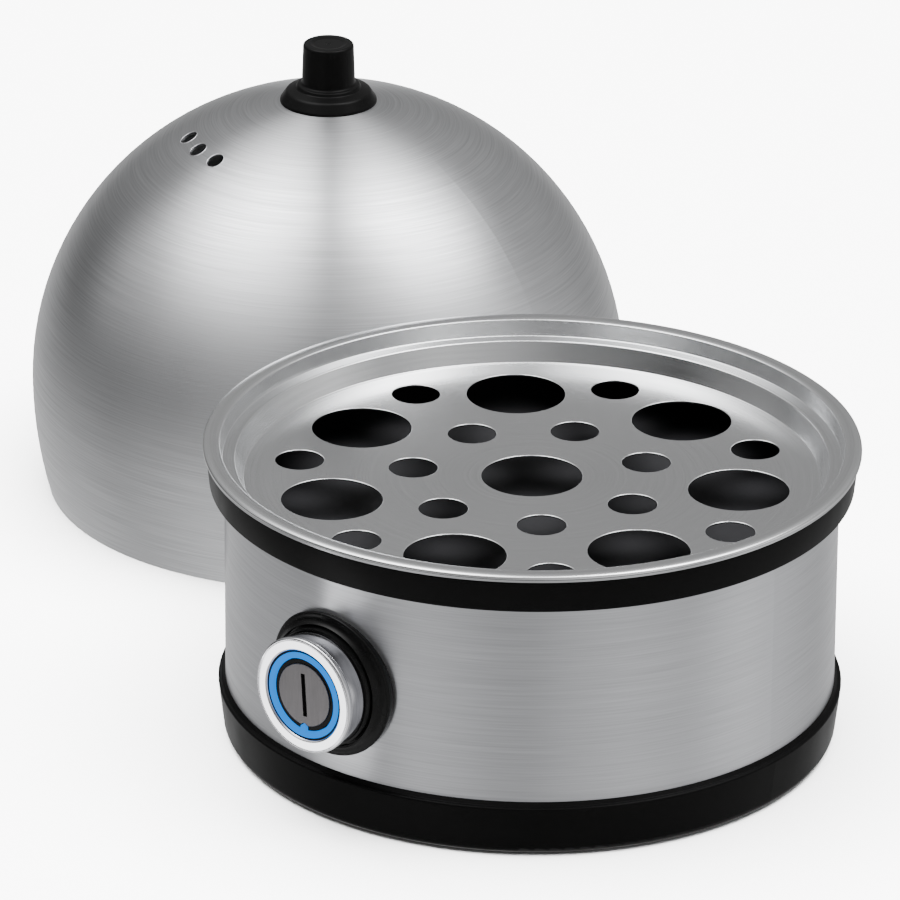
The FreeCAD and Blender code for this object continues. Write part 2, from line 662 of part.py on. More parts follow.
def thermal_fuse():
    centre = V(0, BRACKET_SPAN / 2 + FUSE_LENGTH / 4, bracket_low - FUSE_RADIUS)
    return Part.makeCylinder(FUSE_RADIUS, FUSE_LENGTH, centre - V(0, FUSE_LENGTH / 2, 0), V(0, 1, 0))


def terminal_block():
    low_y = terminal_front
    block = Part.makeBox(TERMINAL_LENGTH, TERMINAL_DEPTH, TERMINAL_HEIGHT,
                         V(-TERMINAL_LENGTH / 2, low_y, cover_top))
    for i in range(TERMINAL_WAYS):
        x = (i - (TERMINAL_WAYS - 1) / 2) * TERMINAL_PITCH
        top = V(x, low_y + TERMINAL_DEPTH / 2, cover_top + TERMINAL_HEIGHT)
        well = Part.makeCylinder(TERMINAL_SCREW_RADIUS + 0.6, 4.0, top - V(0, 0, 4.0))
        block = block.cut(well)
    return block


def terminal_screws():
    screws = []
    for i in range(TERMINAL_WAYS):
        x = (i - (TERMINAL_WAYS - 1) / 2) * TERMINAL_PITCH
        base = V(x, terminal_front + TERMINAL_DEPTH / 2, cover_top + TERMINAL_HEIGHT - 4.0)
        screw = Part.makeCylinder(TERMINAL_SCREW_RADIUS, 3.0, base)
        slot = Part.makeBox(2 * TERMINAL_SCREW_RADIUS, 0.6, 0.6,
                            base + V(-TERMINAL_SCREW_RADIUS, -0.3, 2.4))
        screws.append(screw.cut(slot))
    return Part.makeCompound(screws)


def terminal_entry(way):
    """Front face of the terminal block where a wire goes in."""
    x = (way - (TERMINAL_WAYS - 1) / 2) * TERMINAL_PITCH
    return V(x, terminal_front, cover_top + ENTRY_LIFT)


def earth_tag():
    return Part.makeBox(EARTH_TAG_WIDTH, EARTH_TAG_LENGTH, EARTH_TAG_THICKNESS,
                        V(-EARTH_TAG_WIDTH / 2, standoff_circle - EARTH_TAG_LENGTH / 2,
                          mount_ring_low - EARTH_TAG_THICKNESS))


def buzzer():
    body = Part.makeCylinder(BUZZER_RADIUS, BUZZER_HEIGHT, V(BUZZER_PLACE[0], BUZZER_PLACE[1], cover_top))
    hole = Part.makeCylinder(1.0, 2.0, V(BUZZER_PLACE[0], BUZZER_PLACE[1], cover_top + BUZZER_HEIGHT - 2.0))
    return body.cut(hole)


# ---- internal wires ---------------------------------------------------------------
def pin_foot(side):
    """Foot of the element's cold pin on one side."""
    end = element_end(side)
    along = V(0, 0, 1).cross(end).normalize() * side
    pin = end + along * (2.5 * COLD_PIN_RADIUS)
    return V(pin.x, pin.y, element_z - COLD_PIN_LENGTH)


def blade_end(side):
    """Middle of the thermostat's blade on one side."""
    return V(side * (THERMOSTAT_RADIUS + BLADE_REACH), 0, thermostat_low + BLADE_LIFT)


def wire_live():
    """Terminal block to the switch module."""
    start = terminal_entry(0)
    end = switch_tail(-1)
    side_x = start.x - WIRE_LEAD
    return wire_run([
        (start.x, start.y, start.z),
        (start.x, start.y - WIRE_LEAD, start.z),
        (side_x, start.y - WIRE_SWING, start.z + ENTRY_LIFT),
        (side_x, end.y + WIRE_SWING, start.z + 2 * ENTRY_LIFT),
        (end.x, end.y + WIRE_LEAD, end.z),
        (end.x, end.y, end.z),
    ])


def wire_switched():
    """Switch module to the thermostat's first blade."""
    start = switch_tail(1)
    blade = blade_end(1)
    return wire_run([
        (start.x, start.y, start.z),
        (start.x, start.y + WIRE_LEAD, start.z),
        (blade.x, -1.5 * WIRE_LEAD, blade.z - WIRE_DROP),
        (blade.x, 0, blade.z - WIRE_DROP),
        (blade.x, blade.y, blade.z),
    ])


def wire_heater():
    """Thermostat's second blade to the element."""
    blade = blade_end(-1)
    pin = pin_foot(-1)
    return wire_run([
        (blade.x, blade.y, blade.z),
        (blade.x, blade.y, blade.z - 0.75 * WIRE_DROP),
        (pin.x, WIRE_LEAD, blade.z - WIRE_DROP),
        (pin.x, pin.y, pin.z - 0.75 * WIRE_DROP),
        (pin.x, pin.y, pin.z),
    ])


def wire_neutral():
    """Terminal block to the element's other pin."""
    start = terminal_entry(1)
    pin = pin_foot(1)
    return wire_run([
        (start.x, start.y, start.z),
        (start.x, start.y - 0.85 * WIRE_LEAD, start.z),
        (start.x + pin.x / 2, start.y - WIRE_LEAD, start.z + WIRE_LEAD),
        (pin.x, pin.y, pin.z - WIRE_DROP),
        (pin.x, pin.y, pin.z),
    ])


def wire_earth():
    """Terminal block to the tag under the bowl."""
    start = terminal_entry(2)
    front_y = start.y - 0.7 * WIRE_LEAD
    end_z = mount_ring_low - EARTH_TAG_THICKNESS
    return wire_run([
        (start.x, start.y, start.z),
        (start.x, front_y, start.z),
        (start.x, front_y, end_z - 1.5 * WIRE_DROP),
        (0, standoff_circle, end_z - WIRE_DROP),
        (0, standoff_circle, end_z),
    ])


# ---- push button ------------------------------------------------------------------
def shell_cut():
    """The shell's outer cylinder, to shape pieces that seat on it."""
    return Part.makeCylinder(SHELL_RADIUS, SHELL_EXPOSED, V(0, 0, shell_show_low))


def button_collar():
    flange = button_lathe([
        (BEZEL_BARREL_RADIUS + FIT_GAP, -collar_radius),
        (collar_foot_radius, -collar_radius),
        (collar_foot_radius, -COLLAR_PROUD),
        (collar_radius, COLLAR_PROUD, 0.9),
        (collar_radius - 2.2, COLLAR_PROUD, 0.8),
        (collar_neck_radius, COLLAR_PROUD - 0.8, 0.7),
        (collar_neck_radius, COLLAR_NECK_PROUD, 0.3),
        (BEZEL_BARREL_RADIUS + FIT_GAP, COLLAR_NECK_PROUD),
    ])
    flange = flange.cut(shell_cut())
    sleeve = button_lathe([
        (BEZEL_BARREL_RADIUS + FIT_GAP, -COLLAR_DEPTH),
        (collar_sleeve_radius, -COLLAR_DEPTH),
        (collar_sleeve_radius, COLLAR_NECK_PROUD - 1.0),
        (BEZEL_BARREL_RADIUS + FIT_GAP, COLLAR_NECK_PROUD - 1.0),
    ])
    return flange.fuse(sleeve).removeSplitter()


def collar_nut():
    nut = button_lathe([
        (collar_sleeve_radius + FIT_GAP, -COLLAR_DEPTH + 1.0),
        (collar_sleeve_radius + NUT_WALL, -COLLAR_DEPTH + 1.0),
        (collar_sleeve_radius + NUT_WALL, -COLLAR_DEPTH + 1.0 + NUT_THICKNESS),
        (collar_sleeve_radius + FIT_GAP, -COLLAR_DEPTH + 1.0 + NUT_THICKNESS),
    ])
    return nut


def saddle_washer():
    """Spacer between the shell's curved inside and the flat nut."""
    washer = button_lathe([
        (collar_sleeve_radius + FIT_GAP, -COLLAR_DEPTH + 1.0 + NUT_THICKNESS),
        (collar_sleeve_radius + NUT_WALL, -COLLAR_DEPTH + 1.0 + NUT_THICKNESS),
        (collar_sleeve_radius + NUT_WALL, COLLAR_PROUD),
        (collar_sleeve_radius + FIT_GAP, COLLAR_PROUD),
    ])
    return washer.common(Part.makeCylinder(shell_inner, SHELL_EXPOSED, V(0, 0, shell_show_low)))


def chrome_bezel():
    groove = 0.25
    return button_lathe([
        (bezel_bore, -BEZEL_DEPTH),
        (BEZEL_BARREL_RADIUS, -BEZEL_DEPTH),
        (BEZEL_BARREL_RADIUS, BEZEL_PROUD - BEZEL_HEAD - groove),
        (BEZEL_BARREL_RADIUS - groove, BEZEL_PROUD - BEZEL_HEAD - groove),
        (BEZEL_BARREL_RADIUS - groove, BEZEL_PROUD - BEZEL_HEAD),
        (bezel_radius, BEZEL_PROUD - BEZEL_HEAD, 0.2),
        (bezel_radius, BEZEL_PROUD, 0.6),
        (bezel_opening, BEZEL_PROUD, 0.15),
        (bezel_opening, BEZEL_PROUD - BEZEL_HEAD),
        (bezel_bore, BEZEL_PROUD - BEZEL_HEAD),
    ])


def lens_retainer():
    """Black ring that holds the lens behind the bezel's opening."""
    front = LENS_PROUD - RETAINER_STEP
    shoulder = BEZEL_PROUD - BEZEL_HEAD - FIT_GAP
    return button_lathe([
        (lens_outer + FIT_GAP, LED_BOARD_PROUD),
        (bezel_bore - FIT_GAP, LED_BOARD_PROUD),
        (bezel_bore - FIT_GAP, shoulder),
        (bezel_opening - FIT_GAP, shoulder),
        (bezel_opening - FIT_GAP, front),
        (lens_outer + FIT_GAP, front),
    ])


def tooth_centre(out):
    """Centre of the lens's locating tooth, straight below the button axis."""
    return face_on(out) - V(0, 0, lens_inner - TOOTH_REACH)


def light_ring():
    ring = button_lathe([
        (lens_inner, LENS_PROUD - LENS_LENGTH),
        (lens_outer, LENS_PROUD - LENS_LENGTH),
        (lens_outer, LENS_PROUD, 0.3),
        (lens_inner, LENS_PROUD, 0.2),
    ])
    back = LENS_PROUD - LENS_LENGTH
    tooth = Part.makeCylinder(TOOTH_RADIUS, LENS_LENGTH, tooth_centre(back), FRONT)
    web = Part.makeBox(2 * TOOTH_RADIUS, LENS_LENGTH, TOOTH_REACH + 0.6,
                       tooth_centre(LENS_PROUD) - V(TOOTH_RADIUS, 0, TOOTH_REACH + 0.6))
    return ring.fuse(tooth).fuse(web).removeSplitter()


def led_board():
    board = button_lathe([
        (LED_BOARD_INNER, LED_BOARD_PROUD - LED_BOARD_THICKNESS),
        (bezel_bore - FIT_GAP, LED_BOARD_PROUD - LED_BOARD_THICKNESS),
        (bezel_bore - FIT_GAP, LED_BOARD_PROUD),
        (LED_BOARD_INNER, LED_BOARD_PROUD),
    ])
    middle = (lens_inner + lens_outer) / 2
    across = LENS_WIDTH - 2 * LED_INSET
    face = face_on(LED_BOARD_PROUD)
    for i in range(LED_COUNT):
        led = Part.makeBox(LED_SIZE, LED_SIZE, across,
                           face + V(-LED_SIZE / 2, -LED_SIZE, middle - across / 2))
        led.rotate(face, V(0, 1, 0), 360 * (i + 0.5) / LED_COUNT)
        board = board.fuse(led)
    return board.removeSplitter()


def button_cap():
    rim = lens_inner - RUN_GAP
    floor_out = DISC_PROUD - DISC_THICKNESS
    cap = button_lathe([
        (0, CAP_PROUD - CAP_LENGTH),
        (rim, CAP_PROUD - CAP_LENGTH),
        (rim, CAP_PROUD, 0.25),
        (disc_radius + DISC_RECESS_GAP, CAP_PROUD),
        (disc_radius + DISC_RECESS_GAP, floor_out),
        (0, floor_out),
    ])
    back = CAP_PROUD - CAP_LENGTH
    plunger = Part.makeCylinder(PLUNGER_RADIUS, back + PLUNGER_REACH, face_on(-PLUNGER_REACH), FRONT)
    notch_radius = TOOTH_RADIUS + RUN_GAP
    notch = Part.makeCylinder(notch_radius, CAP_LENGTH + 1, tooth_centre(back - 0.5), FRONT)
    slot = Part.makeBox(2 * notch_radius, CAP_LENGTH + 1, TOOTH_REACH + 1,
                        tooth_centre(CAP_PROUD + 0.5) - V(notch_radius, 0, TOOTH_REACH + 1))
    return cap.fuse(plunger).cut(notch).cut(slot).removeSplitter()


def button_disc():
    disc = button_lathe([
        (0, DISC_PROUD - DISC_THICKNESS),
        (disc_radius, DISC_PROUD - DISC_THICKNESS),
        (disc_radius, DISC_PROUD, 0.15),
        (0, DISC_PROUD),
    ])
    line = Part.makeBox(LINE_WIDTH, DISC_THICKNESS, LINE_LENGTH,
                        face_on(DISC_PROUD) - V(LINE_WIDTH / 2, 0, LINE_LENGTH / 2))
    line.rotate(face_on(0), V(0, 1, 0), -LINE_TILT)
    notch = Part.makeCylinder(TOOTH_RADIUS + RUN_GAP, DISC_THICKNESS,
                              tooth_centre(DISC_PROUD - DISC_THICKNESS), FRONT)
    return disc.cut(line).cut(notch)


def button_spring():
    """Compression spring between the cap's back and the switch module's front."""
    start_out = -BEZEL_DEPTH + RUN_GAP
    length = CAP_PROUD - CAP_LENGTH - start_out - RUN_GAP - 2 * SPRING_WIRE
    steps = 16 * SPRING_TURNS
    points = []
    for i in range(steps + 1):
        angle = 2 * math.pi * i * SPRING_TURNS / steps
        points.append(V(SPRING_RADIUS * math.cos(angle), SPRING_RADIUS * math.sin(angle), length * i / steps))
    coil = Part.BSplineCurve()
    coil.interpolate(points)
    section = Part.Wire(Part.makeCircle(SPRING_WIRE, points[0], coil.tangent(coil.FirstParameter)[0]))
    spring = Part.Wire(coil.toShape()).makePipeShell([section], True, True)
    spring.rotate(V(0, 0, 0), V(1, 0, 0), 90)
    spring.translate(face_on(start_out + SPRING_WIRE))
    return spring


def switch_module():
    """Latching switch: the plunger enters its front bore."""
    front_out = -BEZEL_DEPTH
    block = Part.makeBox(switch_width, SWITCH_LENGTH, switch_height,
                         face_on(front_out) - V(switch_width / 2, 0, switch_height / 2))
    bore = Part.makeCylinder(
        PLUNGER_RADIUS + RUN_GAP, SWITCH_BORE_DEPTH, face_on(front_out - SWITCH_BORE_DEPTH), FRONT)
    return block.cut(bore)


def switch_tail(side):
    """Blade at the back of the switch module."""
    back_y = -SHELL_RADIUS + BEZEL_DEPTH + SWITCH_LENGTH
    return V(side * switch_width / 4, back_y, BUTTON_HEIGHT - switch_height / 4)


# ---- lid --------------------------------------------------------------------------
def lid_solid(sheet):
    """Filled lid outline, inset by a sheet thickness, standing on the table."""
    widest = lid_radius - sheet
    draw_in = lid_radius - lid_mouth_radius
    skirt_radius = (LID_SKIRT_HEIGHT ** 2 + draw_in ** 2) / (2 * draw_in)
    centre_r = lid_radius - skirt_radius
    reach = skirt_radius - sheet

    def skirt_point(z):
        return V(centre_r + math.sqrt(reach ** 2 - (LID_SKIRT_HEIGHT - z) ** 2), 0, z)

    def dome_point(angle):
        return V(widest * math.cos(angle), 0, LID_SKIRT_HEIGHT + widest * math.sin(angle))

    mouth = skirt_point(0)
    waist = V(widest, 0, LID_SKIRT_HEIGHT)
    top = dome_point(math.pi / 2)
    wire = Part.Wire([
        Part.LineSegment(V(0, 0, 0), mouth).toShape(),
        Part.Arc(mouth, skirt_point(LID_SKIRT_HEIGHT / 2), waist).toShape(),
        Part.Arc(waist, dome_point(math.pi / 4), top).toShape(),
        Part.LineSegment(top, V(0, 0, 0)).toShape(),
    ])
    return Part.Face(wire).revolve(V(0, 0, 0), UP, 360)


def on_lid(solid):
    """Move a piece modelled about the Z axis to where the lid stands."""
    solid.translate(polar(lid_distance, LID_STAND_AZIMUTH))
    return solid


def lid_dome():
    dome = lid_solid(0).cut(lid_solid(LID_SHEET))
    centre = V(0, 0, LID_SKIRT_HEIGHT)
    lean = math.asin(LID_VENT_CIRCLE / lid_radius)
    for i in range(LID_VENT_COUNT):
        azimuth = LID_VENT_AZIMUTH + (i - (LID_VENT_COUNT - 1) / 2) * LID_VENT_PITCH
        direction = polar(math.sin(lean), azimuth, math.cos(lean))
        dome = dome.cut(Part.makeCylinder(LID_VENT_RADIUS, 1.2 * lid_radius, centre, direction))
    hole = Part.makeCylinder(KNOB_SCREW_RADIUS + FIT_GAP, 3 * LID_SHEET, V(0, 0, dome_top - 2 * LID_SHEET))
    return on_lid(dome.cut(hole))


def lid_knob():
    top = dome_top + KNOB_HEIGHT
    foot = dome_top + KNOB_FLANGE_HEIGHT
    knob = lathe([
        (0, dome_top - 4),
        (KNOB_FLANGE_RADIUS, dome_top - 4),
        (KNOB_FLANGE_RADIUS, foot - 5.0, 1.2),
        (KNOB_FLANGE_RADIUS - 2.0, foot - 2.0, 1.6),
        (KNOB_STEM_RADIUS + 2.4, foot - 1.2, 0.4),
        (KNOB_STEM_RADIUS + 1.8, foot - 1.0, 0.4),
        (KNOB_STEM_RADIUS + 1.3, foot, 0.5),
        (KNOB_STEM_RADIUS, foot + 0.4, 0.8),
        (KNOB_TOP_RADIUS, top, 0.9),
        (KNOB_TOP_RADIUS - 2.2, top, 1.0),
        (KNOB_TOP_RADIUS - 3.4, top - 0.3, 1.0),
        (0, top - 0.3),
    ])
    knob = knob.cut(Part.makeSphere(lid_radius, V(0, 0, LID_SKIRT_HEIGHT)))
    thread = Part.makeCylinder(
        KNOB_SCREW_RADIUS + FIT_GAP, KNOB_SCREW_GRIP + 0.5, V(0, 0, dome_top - 1))
    return on_lid(knob.cut(thread))


def knob_washer():
    inner_top = dome_top - LID_SHEET
    low = inner_top - KNOB_WASHER_THICKNESS - 0.4
    washer = tube(KNOB_WASHER_RADIUS, KNOB_SCREW_RADIUS + FIT_GAP, low, KNOB_WASHER_THICKNESS + 0.4)
    return on_lid(washer.common(Part.makeSphere(lid_radius - LID_SHEET, V(0, 0, LID_SKIRT_HEIGHT))))


def knob_screw():
    washer_low = dome_top - LID_SHEET - KNOB_WASHER_THICKNESS - 0.4
    head_height = 2.6
    head = Part.makeCylinder(KNOB_SCREW_HEAD_RADIUS, head_height, V(0, 0, washer_low - head_height))
    shank_low = washer_low
    shank_top = dome_top - 1 + KNOB_SCREW_GRIP
    shank = Part.makeCylinder(KNOB_SCREW_RADIUS, shank_top - shank_low + 1, V(0, 0, shank_low - 1))
    slot = Part.makeBox(2 * KNOB_SCREW_HEAD_RADIUS, 1.0, 0.9,
                        V(-KNOB_SCREW_HEAD_RADIUS, -0.5, washer_low - head_height))
    return on_lid(head.fuse(shank).cut(slot).removeSplitter())


# ---- build ------------------------------------------------------------------------
parts = {
    "base_housing": housing(),
    "bottom_cover": bottom_cover(),
    "cover_screws": cover_screws(),
    "foot_ring": foot_ring(),
    "cord_gland": cord_gland(),
    "shell_band": shell_band(),
    "top_ring": top_ring(),
    "heating_bowl": heating_bowl(),
    "bowl_gasket": bowl_gasket(),
    "bowl_mount_ring": bowl_mount_ring(),
    "bowl_studs": bowl_studs(),
    "standoff_screws": standoff_screws(),
    "heat_spreader": heat_spreader(),
    "heater_element": heater_element(),
    "thermostat": thermostat(),
    "thermostat_bracket": thermostat_bracket(),
    "bracket_screws": bracket_screws(),
    "thermal_fuse": thermal_fuse(),
    "terminal_block": terminal_block(),
    "terminal_screws": terminal_screws(),
    "earth_tag": earth_tag(),
    "buzzer": buzzer(),
    "wire_live": wire_live(),
    "wire_switched": wire_switched(),
    "wire_heater": wire_heater(),
    "wire_neutral": wire_neutral(),
    "wire_earth": wire_earth(),
    "button_collar": button_collar(),
    "collar_nut": collar_nut(),
    "saddle_washer": saddle_washer(),
    "chrome_bezel": chrome_bezel(),
    "lens_retainer": lens_retainer(),
    "light_ring": light_ring(),
    "led_board": led_board(),
    "switch_module": switch_module(),
    "button_cap": button_cap(),
    "button_disc": button_disc(),
    "button_spring": button_spring(),
    "egg_tray": egg_tray(),
    "lid_dome": lid_dome(),
    "lid_knob": lid_knob(),
    "knob_washer": knob_washer(),
    "knob_screw": knob_screw(),
}
for number, azimuth in enumerate(at_azimuths(STANDOFF_COUNT, STANDOFF_AZIMUTH), 1):
    parts[f"standoff_{number}"] = standoff(azimuth)

os.makedirs("parts", exist_ok=True)
for name, shape in parts.items():
    shape.exportStep(f"parts/{name}.step")
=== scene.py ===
"""Electric egg cooker: brushed steel base, egg tray, lit push button and a domed lid."""

import logging
import math
from dataclasses import dataclass, field
from enum import Enum
from typing import Any, Protocol, Sequence

import bmesh
import bpy
from mathutils import Matrix, Vector

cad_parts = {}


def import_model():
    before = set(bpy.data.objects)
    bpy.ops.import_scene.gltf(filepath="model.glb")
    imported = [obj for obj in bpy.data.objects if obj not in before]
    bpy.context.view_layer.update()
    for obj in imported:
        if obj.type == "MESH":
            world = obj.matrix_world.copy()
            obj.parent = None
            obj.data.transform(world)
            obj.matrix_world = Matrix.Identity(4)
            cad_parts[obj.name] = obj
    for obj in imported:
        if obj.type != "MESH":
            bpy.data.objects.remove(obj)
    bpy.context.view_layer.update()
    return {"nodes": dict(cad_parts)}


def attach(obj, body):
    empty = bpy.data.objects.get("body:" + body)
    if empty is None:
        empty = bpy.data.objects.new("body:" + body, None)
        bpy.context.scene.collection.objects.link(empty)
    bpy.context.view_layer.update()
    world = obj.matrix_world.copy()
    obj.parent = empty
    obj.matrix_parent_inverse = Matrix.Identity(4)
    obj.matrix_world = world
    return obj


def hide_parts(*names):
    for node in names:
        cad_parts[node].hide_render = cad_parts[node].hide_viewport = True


LOG = logging.getLogger("egg_cooker")
MM = 0.001
MICRON = 1e-6
TURN = 2 * math.pi
QUARTER_TURN = 0.25  # Blender counts a reflection's turn from 0 to 1

Outline = list[tuple[float, float]]


# ---- colour and node helpers ------------------------------------------------------


def srgb(hex_code: str) -> tuple[float, float, float, float]:
    """Turn an sRGB hex colour into linear RGBA.

    Args:
        hex_code: Six hex digits with a leading '#'.

    Returns:
        Linear red, green and blue, and an alpha of 1.
    """
    channels = [int(hex_code[i : i + 2], 16) / 255 for i in (1, 3, 5)]
    linear = [c / 12.92 if c <= 0.04045 else ((c + 0.055) / 1.055) ** 2.4 for c in channels]
    return (linear[0], linear[1], linear[2], 1.0)


def add_node(
    tree: bpy.types.NodeTree,
    kind: str,
    inputs: dict[Any, Any] | None = None,
    **settings: Any,
) -> bpy.types.Node:
    """Add a node, set its properties, and fill or link its inputs.

    Args:
        tree: The node tree that gets the node.
        kind: Blender's type name for the node.
        inputs: Input name or number to a value, or to an output socket to link.
        settings: The node's own properties, such as operation="ADD".

    Returns:
        The new node.
    """
    node = tree.nodes.new(kind)
    for name, value in settings.items():
        setattr(node, name, value)
    for key, value in (inputs or {}).items():
        if isinstance(value, bpy.types.NodeSocket):
            tree.links.new(value, node.inputs[key])
        else:
            node.inputs[key].default_value = value
    return node


def blank_material(name: str) -> tuple[bpy.types.Material, bpy.types.NodeTree]:
    """Make a node material with nothing in it but its output.

    Args:
        name: The material's name.

    Returns:
        The material and its emptied node tree.
    """
    material = bpy.data.materials.new(name)
    material.use_nodes = True
    material.node_tree.nodes.clear()
    return material, material.node_tree


def close_material(tree: bpy.types.NodeTree, shader: bpy.types.Node) -> None:
    """Link a shader to a new material output."""
    add_node(tree, "ShaderNodeOutputMaterial", {"Surface": shader.outputs[0]})


# ---- finishes ---------------------------------------------------------------------


class Finish(Protocol):
    """Something that can make a material."""

    name: str

    def material(self) -> bpy.types.Material:
        """Make the material."""
        ...


class Lay(Enum):
    """Which way the fine scratches of a brushed or drawn metal run."""

    ROUND_BAND = "round an upright band"
    ROUND_DOME = "round a dome"
    ROUND_DISC = "round a flat disc"
    ROUND_BARREL = "round a barrel that lies front to back"
    ALONG_Z = "straight, up and down"


@dataclass(frozen=True)
class BrushedSteel:
    """Stainless steel, belt-brushed: long fine scratches and broad soft reflections.

    The scratches stretch each reflection across themselves, so a band or dome brushed
    round its axis shows upright streaks of light. The grain itself shows only as a
    faint, fine shimmer of thin lines.
    """

    name: str
    light: str = "#D2D3D5"
    dark: str = "#B8B9BB"
    lay: Lay = Lay.ROUND_BAND
    axis_mm: tuple[float, float] = (0.0, 0.0)
    dome_mm: tuple[float, float] = (0.0, 90.0)  # centre height and radius
    tangent: str = "Z"  # the axis that round scratches run about
    scratch_mm: float = 0.42  # across a line: real grit is 0.05, too fine to show
    scratch_long_mm: float = 30.0
    pass_mm: float = 1.3  # passes of the belt, wider and fainter
    pass_long_mm: float = 85.0
    pass_share: float = 0.2
    roughness: float = 0.31
    roughness_spread: float = 0.03
    anisotropy: float = 0.82
    bump_um: float = 1.2
    noise_reach: float = 0.25  # how far the summed noise strays from its middle

    def _ways(self, tree: bpy.types.NodeTree) -> bpy.types.NodeSocket:
        """Lay out coordinates that follow the scratches.

        Args:
            tree: The material's node tree.

        Returns:
            Coordinates in metres: two along the scratches and the third across them.
        """
        place = add_node(tree, "ShaderNodeTexCoord").outputs["Object"]
        centre = (self.axis_mm[0] * MM, self.axis_mm[1] * MM, 0.0)
        shifted = add_node(
            tree, "ShaderNodeVectorMath", {0: place, 1: centre}, operation="SUBTRACT"
        ).outputs[0]
        if self.lay is Lay.ROUND_BAND:
            return shifted
        part = add_node(tree, "ShaderNodeSeparateXYZ", {0: shifted}).outputs
        if self.lay is Lay.ALONG_Z:
            return add_node(
                tree, "ShaderNodeCombineXYZ", {0: part[2], 1: part[1], 2: part[0]}
            ).outputs[0]
        if self.lay is Lay.ROUND_BARREL:
            return add_node(
                tree, "ShaderNodeCombineXYZ", {0: part[0], 1: part[2], 2: part[1]}
            ).outputs[0]
        flat = add_node(tree, "ShaderNodeCombineXYZ", {0: part[0], 1: part[1], 2: 0.0})
        radius = add_node(
            tree, "ShaderNodeVectorMath", {0: flat.outputs[0]}, operation="LENGTH"
        ).outputs["Value"]
        if self.lay is Lay.ROUND_DISC:
            return add_node(
                tree, "ShaderNodeCombineXYZ", {0: part[0], 1: part[1], 2: radius}
            ).outputs[0]
        rise = add_node(
            tree, "ShaderNodeMath", {0: part[2], 1: self.dome_mm[0] * MM}, operation="SUBTRACT"
        ).outputs[0]
        lean = add_node(
            tree, "ShaderNodeMath", {0: radius, 1: rise}, operation="ARCTAN2"
        ).outputs[0]
        arc = add_node(
            tree, "ShaderNodeMath", {0: lean, 1: self.dome_mm[1] * MM}, operation="MULTIPLY"
        ).outputs[0]
        return add_node(
            tree, "ShaderNodeCombineXYZ", {0: part[0], 1: part[1], 2: arc}
        ).outputs[0]

    def _lines(
        self,
        tree: bpy.types.NodeTree,
        ways: bpy.types.NodeSocket,
        across_mm: float,
        along_mm: float,
        detail: float,
    ) -> bpy.types.NodeSocket:
        """Draw noise out into lines.

        Args:
            tree: The material's node tree.
            ways: Coordinates whose third part runs across the lines.
            across_mm: Width of a line.
            along_mm: Length of a line.
            detail: How many finer layers the noise has.

        Returns:
            The noise, from 0 to 1.
        """
        scale = (1 / (along_mm * MM), 1 / (along_mm * MM), 1 / (across_mm * MM))
        drawn = add_node(
            tree, "ShaderNodeVectorMath", {0: ways, 1: scale}, operation="MULTIPLY"
        ).outputs[0]
        return add_node(
            tree, "ShaderNodeTexNoise",
            {"Vector": drawn, "Scale": 1.0, "Detail": detail, "Roughness": 0.55},
        ).outputs["Fac"]

    def material(self) -> bpy.types.Material:
        """Make the material.

        Returns:
            A metal whose colour, roughness and bump follow its scratches.
        """
        material, tree = blank_material(self.name)
        ways = self._ways(tree)
        fine = self._lines(tree, ways, self.scratch_mm, self.scratch_long_mm, 2.0)
        passes = self._lines(tree, ways, self.pass_mm, self.pass_long_mm, 1.0)
        weighed = add_node(
            tree, "ShaderNodeMath", {0: passes, 1: self.pass_share}, operation="MULTIPLY"
        ).outputs[0]
        both = add_node(
            tree, "ShaderNodeMath", {0: fine, 1: weighed}, operation="ADD"
        ).outputs[0]
        middle = 0.5 * (1 + self.pass_share)
        ends = {1: middle - self.noise_reach, 2: middle + self.noise_reach}
        share = add_node(
            tree, "ShaderNodeMapRange", {0: both, **ends, 3: 0.0, 4: 1.0}
        ).outputs[0]
        colour = add_node(
            tree, "ShaderNodeMix",
            {0: share, 6: srgb(self.dark), 7: srgb(self.light)}, data_type="RGBA",
        ).outputs[2]
        low = self.roughness - self.roughness_spread
        high = self.roughness + self.roughness_spread
        rough = add_node(
            tree, "ShaderNodeMapRange", {0: both, **ends, 3: high, 4: low}
        ).outputs[0]
        bump = add_node(
            tree, "ShaderNodeBump",
            {"Height": fine, "Strength": 1.0, "Distance": self.bump_um * MICRON},
        ).outputs[0]
        settings: dict[Any, Any] = {
            "Base Color": colour,
            "Metallic": 1.0,
            "Roughness": rough,
            "Anisotropic": self.anisotropy,
            "Normal": bump,
        }
        if self.lay is not Lay.ALONG_Z:
            tangent = add_node(
                tree, "ShaderNodeTangent", direction_type="RADIAL", axis=self.tangent
            )
            settings["Tangent"] = tangent.outputs[0]
            settings["Anisotropic Rotation"] = QUARTER_TURN
        close_material(tree, add_node(tree, "ShaderNodeBsdfPrincipled", settings))
        return material


